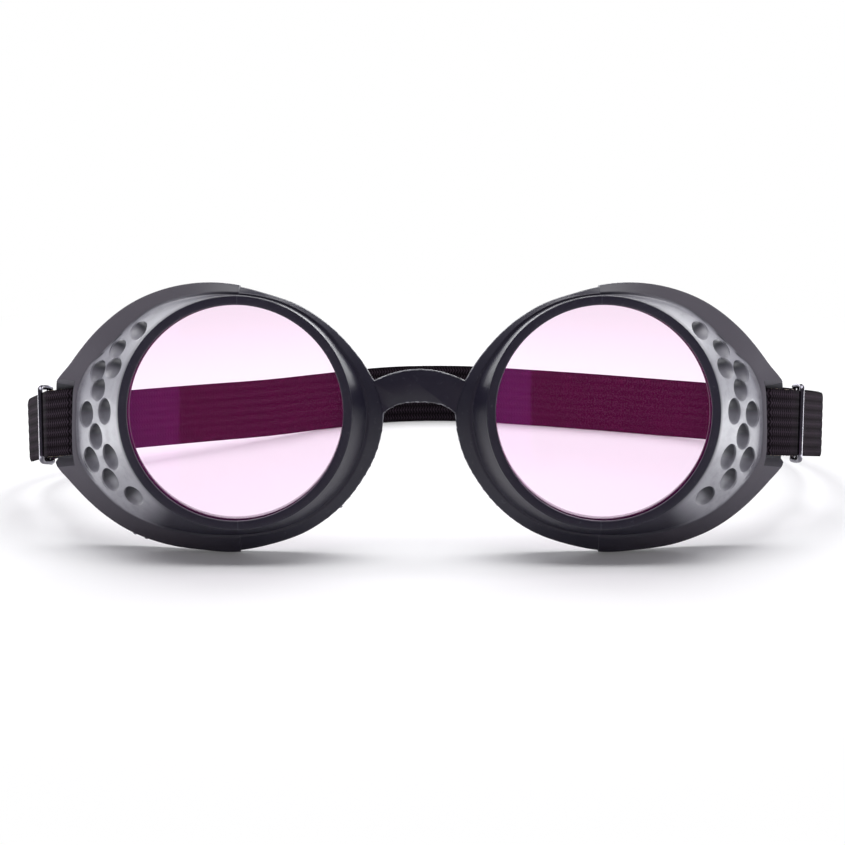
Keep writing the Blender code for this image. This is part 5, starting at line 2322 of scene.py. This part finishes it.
@dataclass
class StrapSlide:
    """A three-bar wire slide, whose front bar is bent up over the webbing."""

    form: StrapForm
    side: Side
    wire_radius: float = 0.00060
    bar_spacing: float = 0.0048
    corner_radius: float = 0.0014
    lobe: float = 0.0002
    rests: tuple = (0.0085, 0.0062)
    wire_steps: int = 18
    corner_steps: int = 10
    rail_steps: int = 26

    @property
    def rail_offset(self) -> float:
        """Distance of the rails from the slide's middle."""
        lug = self.form.lug
        return lug.webbing_width / 2 + lug.webbing_gap + self.wire_radius

    @property
    def front_lift(self) -> float:
        """How far the front bar is bent up."""
        lug = self.form.lug
        return lug.layer_offset + lug.webbing_thickness / 2 + lug.webbing_gap + self.wire_radius

    def path(self) -> list[Vector]:
        """The outer wire, round the front and rear bars and two rails, in the slide's own axes.

        Returns:
            The wire's points, in order.
        """
        half_run = self.bar_spacing
        points = []
        for along, across, turn in ((1, 1, 0), (-1, 1, 90), (-1, -1, 180), (1, -1, 270)):
            centre = Vector((
                along * (half_run - self.corner_radius), across * (self.rail_offset - self.corner_radius),
            ))
            for k in range(self.corner_steps + 1):
                angle = math.radians(turn + 90 * k / self.corner_steps)
                points.append(centre + self.corner_radius * Vector((math.cos(angle), math.sin(angle))))
            if along == across:
                rail = half_run - self.corner_radius
                for k in range(1, self.rail_steps):
                    run = rail * (1 - 2 * k / self.rail_steps)
                    points.append(Vector((along * run, across * self.rail_offset)))
        shaped = []
        for point in points:
            bow = self.lobe * math.sin(math.pi * point.x / half_run) ** 2 * math.copysign(1, point.y)
            lift = self.front_lift * (1 - math.cos(math.pi * min(0.0, point.x) / half_run)) / 2
            shaped.append(Vector((point.x, point.y + bow, lift)))
        return shaped

    def wire(self, name: str, points: Sequence[Vector], ends: Ends) -> Object:
        """Round wire along a path.

        Args:
            name: its name.
            points: the path.
            ends: whether the wire closes on itself.

        Returns:
            The wire.
        """
        rings = []
        count = len(points)
        for k, point in enumerate(points):
            closed = ends is Ends.JOINED
            before = points[(k - 1) % count] if closed or k > 0 else point
            after = points[(k + 1) % count] if closed or k < count - 1 else point
            tangent = (after - before).normalized()
            across = tangent.cross(Vector((0, 0, 1))).normalized()
            upward = across.cross(tangent)
            ring = []
            for step in range(self.wire_steps):
                turn = math.tau * (step + 0.5) / self.wire_steps
                ring.append(point + self.wire_radius * (math.cos(turn) * across + math.sin(turn) * upward))
            rings.append(ring)
        return loft(name, rings, ends)

    def build(self, stance: Stance, finish: Material) -> Object:
        """Build the slide.

        Args:
            stance: where the goggles stand.
            finish: the wire's material.

        Returns:
            The finished piece.
        """
        start, direction, normal, _ = self.form.lead(self.side)
        rest = self.side.pick(self.rests)
        turn = Matrix((direction, normal.cross(direction), normal)).transposed().to_4x4()
        name = self.side.word + "_wire_slide"
        thing = self.wire(name, self.path(), Ends.JOINED)
        ends = [Vector((0, -self.rail_offset, 0)), Vector((0, self.rail_offset, 0))]
        work(thing, self.wire("middle_bar", ends, Ends.CAPPED), Cut.JOIN)
        settle(thing, stance.place @ Matrix.Translation(start + rest * direction) @ turn, WIRE_ANGLE)
        body = self.side.pick((Body.LEFT_SLIDE, Body.RIGHT_SLIDE))
        return hand_over(thing, body, finish, "gunmetal", self.side.word + "_slide")


@dataclass(frozen=True)
class Lamp:
    """A soft rectangular lamp: its place, what it points at, its width and height, watts and colour."""

    name: str
    place: tuple
    aim: tuple
    size: tuple
    power: float
    colour: tuple = (0.97, 0.98, 1)

    def hang(self) -> None:
        """Hang the lamp, unseen by the camera."""
        lamp = bpy.data.lights.new(self.name, "AREA")
        lamp.shape = "RECTANGLE"
        lamp.size, lamp.size_y = self.size
        lamp.energy = self.power
        lamp.color = self.colour
        thing = bpy.data.objects.new(self.name, lamp)
        bpy.context.scene.collection.objects.link(thing)
        thing.visible_camera = False
        thing.location = self.place
        thing.rotation_euler = (Vector(self.aim) - Vector(self.place)).to_track_quat("-Z", "Y").to_euler()


@dataclass
class Studio:
    """The table, the lamps and the camera. Pairs of watts have the left side's first."""

    camera_place: tuple = (-0.00100, -0.64265, 0.18339)
    camera_tilt: float = 75.45
    camera_lens: float = 112.99
    sensor_width: float = 36.0
    table_size: float = 6.0
    room_level: float = 0.15
    room_tint: tuple = (0.92, 0.86, 1.0)
    top_watts: float = 7.8
    side_watts: tuple = (0.7, 0.5)
    back_watts: tuple = (2.9, 2.2)
    card_watts: tuple = (1.0, 0.85)
    window_watts: float = 0.017
    window_colour: tuple = (0.95, 0.24, 0.95)
    windows: tuple = (("right_window", -0.150, 0.058), ("left_window", 0.030, 0.045))

    def lay_table(self) -> None:
        """Lay the white table that the goggles stand on."""
        lay_down_tools()
        bpy.ops.mesh.primitive_plane_add(size=self.table_size, location=(0, 0, 0))
        table = named("table_top")
        table.data.materials.append(StudioWhite().make())

    def side_lamps(self, side: Side) -> list[Lamp]:
        """A side's three lamps: one beside the goggles, one behind them, and a card lying by the shield."""
        sign, word = side.value, side.word
        return [
            Lamp(word + "_lamp", (sign * 0.60, 0.40, 0.16), (sign * 0.07, -0.05, 0.03), (0.7, 0.30),
                 side.pick(self.side_watts)),
            Lamp(word + "_back", (sign * 0.33, 0.80, 0.20), (sign * 0.07, -0.05, 0.04), (0.6, 0.30),
                 side.pick(self.back_watts)),
            Lamp(word + "_card", (sign * 0.24, -0.02, 0.003), (sign * 0.24, -0.02, 1), (0.24, 0.34),
                 side.pick(self.card_watts)),
        ]

    def lamps(self) -> list[Lamp]:
        """The lamps: one overhead, three on each side, and two windows that gleam in the lenses.

        Returns:
            The lamps, in the order they are hung in.
        """
        made = [Lamp("top_lamp", (0.0, 0.10, 0.75), (0, 0, 0.02), (0.9, 0.6), self.top_watts, (1, 1, 1))]
        made += self.side_lamps(Side.RIGHT) + self.side_lamps(Side.LEFT)
        for name, across, width in self.windows:
            place, aim = (across, -0.76, 0.12), (across, 0, 0.08)
            made.append(Lamp(name, place, aim, (width, 0.16), self.window_watts, self.window_colour))
        return made

    def light_room(self) -> None:
        """Light the room, which is white where the camera sees it and dim and tinted elsewhere."""
        world = bpy.data.worlds.new("studio")
        bpy.context.scene.world = world
        world.use_nodes = True
        tree = world.node_tree
        path = tree.nodes.new("ShaderNodeLightPath")
        seen = tree.nodes.new("ShaderNodeMath")
        seen.operation = "MAXIMUM"
        tree.links.new(path.outputs["Is Camera Ray"], seen.inputs[0])
        tree.links.new(path.outputs["Is Transmission Ray"], seen.inputs[1])
        strength = tree.nodes.new("ShaderNodeMapRange")
        strength.inputs["To Min"].default_value = self.room_level
        strength.inputs["To Max"].default_value = 1.0
        tint = tree.nodes.new("ShaderNodeMix")
        tint.data_type = "RGBA"
        tint.inputs[6].default_value = (*self.room_tint, 1)
        tint.inputs[7].default_value = (1, 1, 1, 1)
        tree.links.new(seen.outputs[0], strength.inputs["Value"])
        tree.links.new(seen.outputs[0], tint.inputs[0])
        background = tree.nodes["Background"]
        tree.links.new(strength.outputs["Result"], background.inputs["Strength"])
        tree.links.new(tint.outputs[2], background.inputs["Color"])

    def place_camera(self) -> None:
        """Place the camera."""
        camera = bpy.data.cameras.new("camera")
        camera.sensor_width = self.sensor_width
        camera.lens = self.camera_lens
        thing = bpy.data.objects.new("camera", camera)
        bpy.context.scene.collection.objects.link(thing)
        thing.location = self.camera_place
        thing.rotation_euler = (math.radians(self.camera_tilt), 0, 0)
        bpy.context.scene.camera = thing

    def set_up(self) -> None:
        """Light the scene and place the camera."""
        scene = bpy.context.scene
        scene.view_settings.view_transform = "Standard"
        self.light_room()
        self.lay_table()
        for lamp in self.lamps():
            lamp.hang()
        self.place_camera()


def main() -> None:
    """Build the goggles' pieces in order and set up the studio."""
    logging.basicConfig(level=logging.INFO, format="%(message)s")
    cup = CupForm()
    lug = LugForm(cup)
    strap = StrapForm(lug)
    stance = Stance.on_the_lenses(cup, strap.lean_angle)
    moulding = EyecupFrame(cup, lug)
    moulding.build(stance, MouldedPlastic().make(stance, lug))
    MouldFlash(moulding).build(stance, FlashPlastic().make())
    ring_black = RingPlastic().make()
    gunmetal = GunmetalWire().make()
    for side in Side:
        glass = TintedLens().make(side, cup.lens_radius, stance, cup.spacing)
        LensUnit(cup, side).build(stance, glass, ring_black)
        StrapSlide(strap, side).build(stance, gunmetal)
    webbing = Webbing(strap)
    webbing.build(stance, KnittedElastic().make)
    black_thread = Thread("hem_thread", (0.020, 0.017, 0.020), (0.004, 0.003, 0.004))
    webbing.trim(stance, Thread().make(), black_thread.make())
    Studio().set_up()


if __name__ == "__main__":
    main()
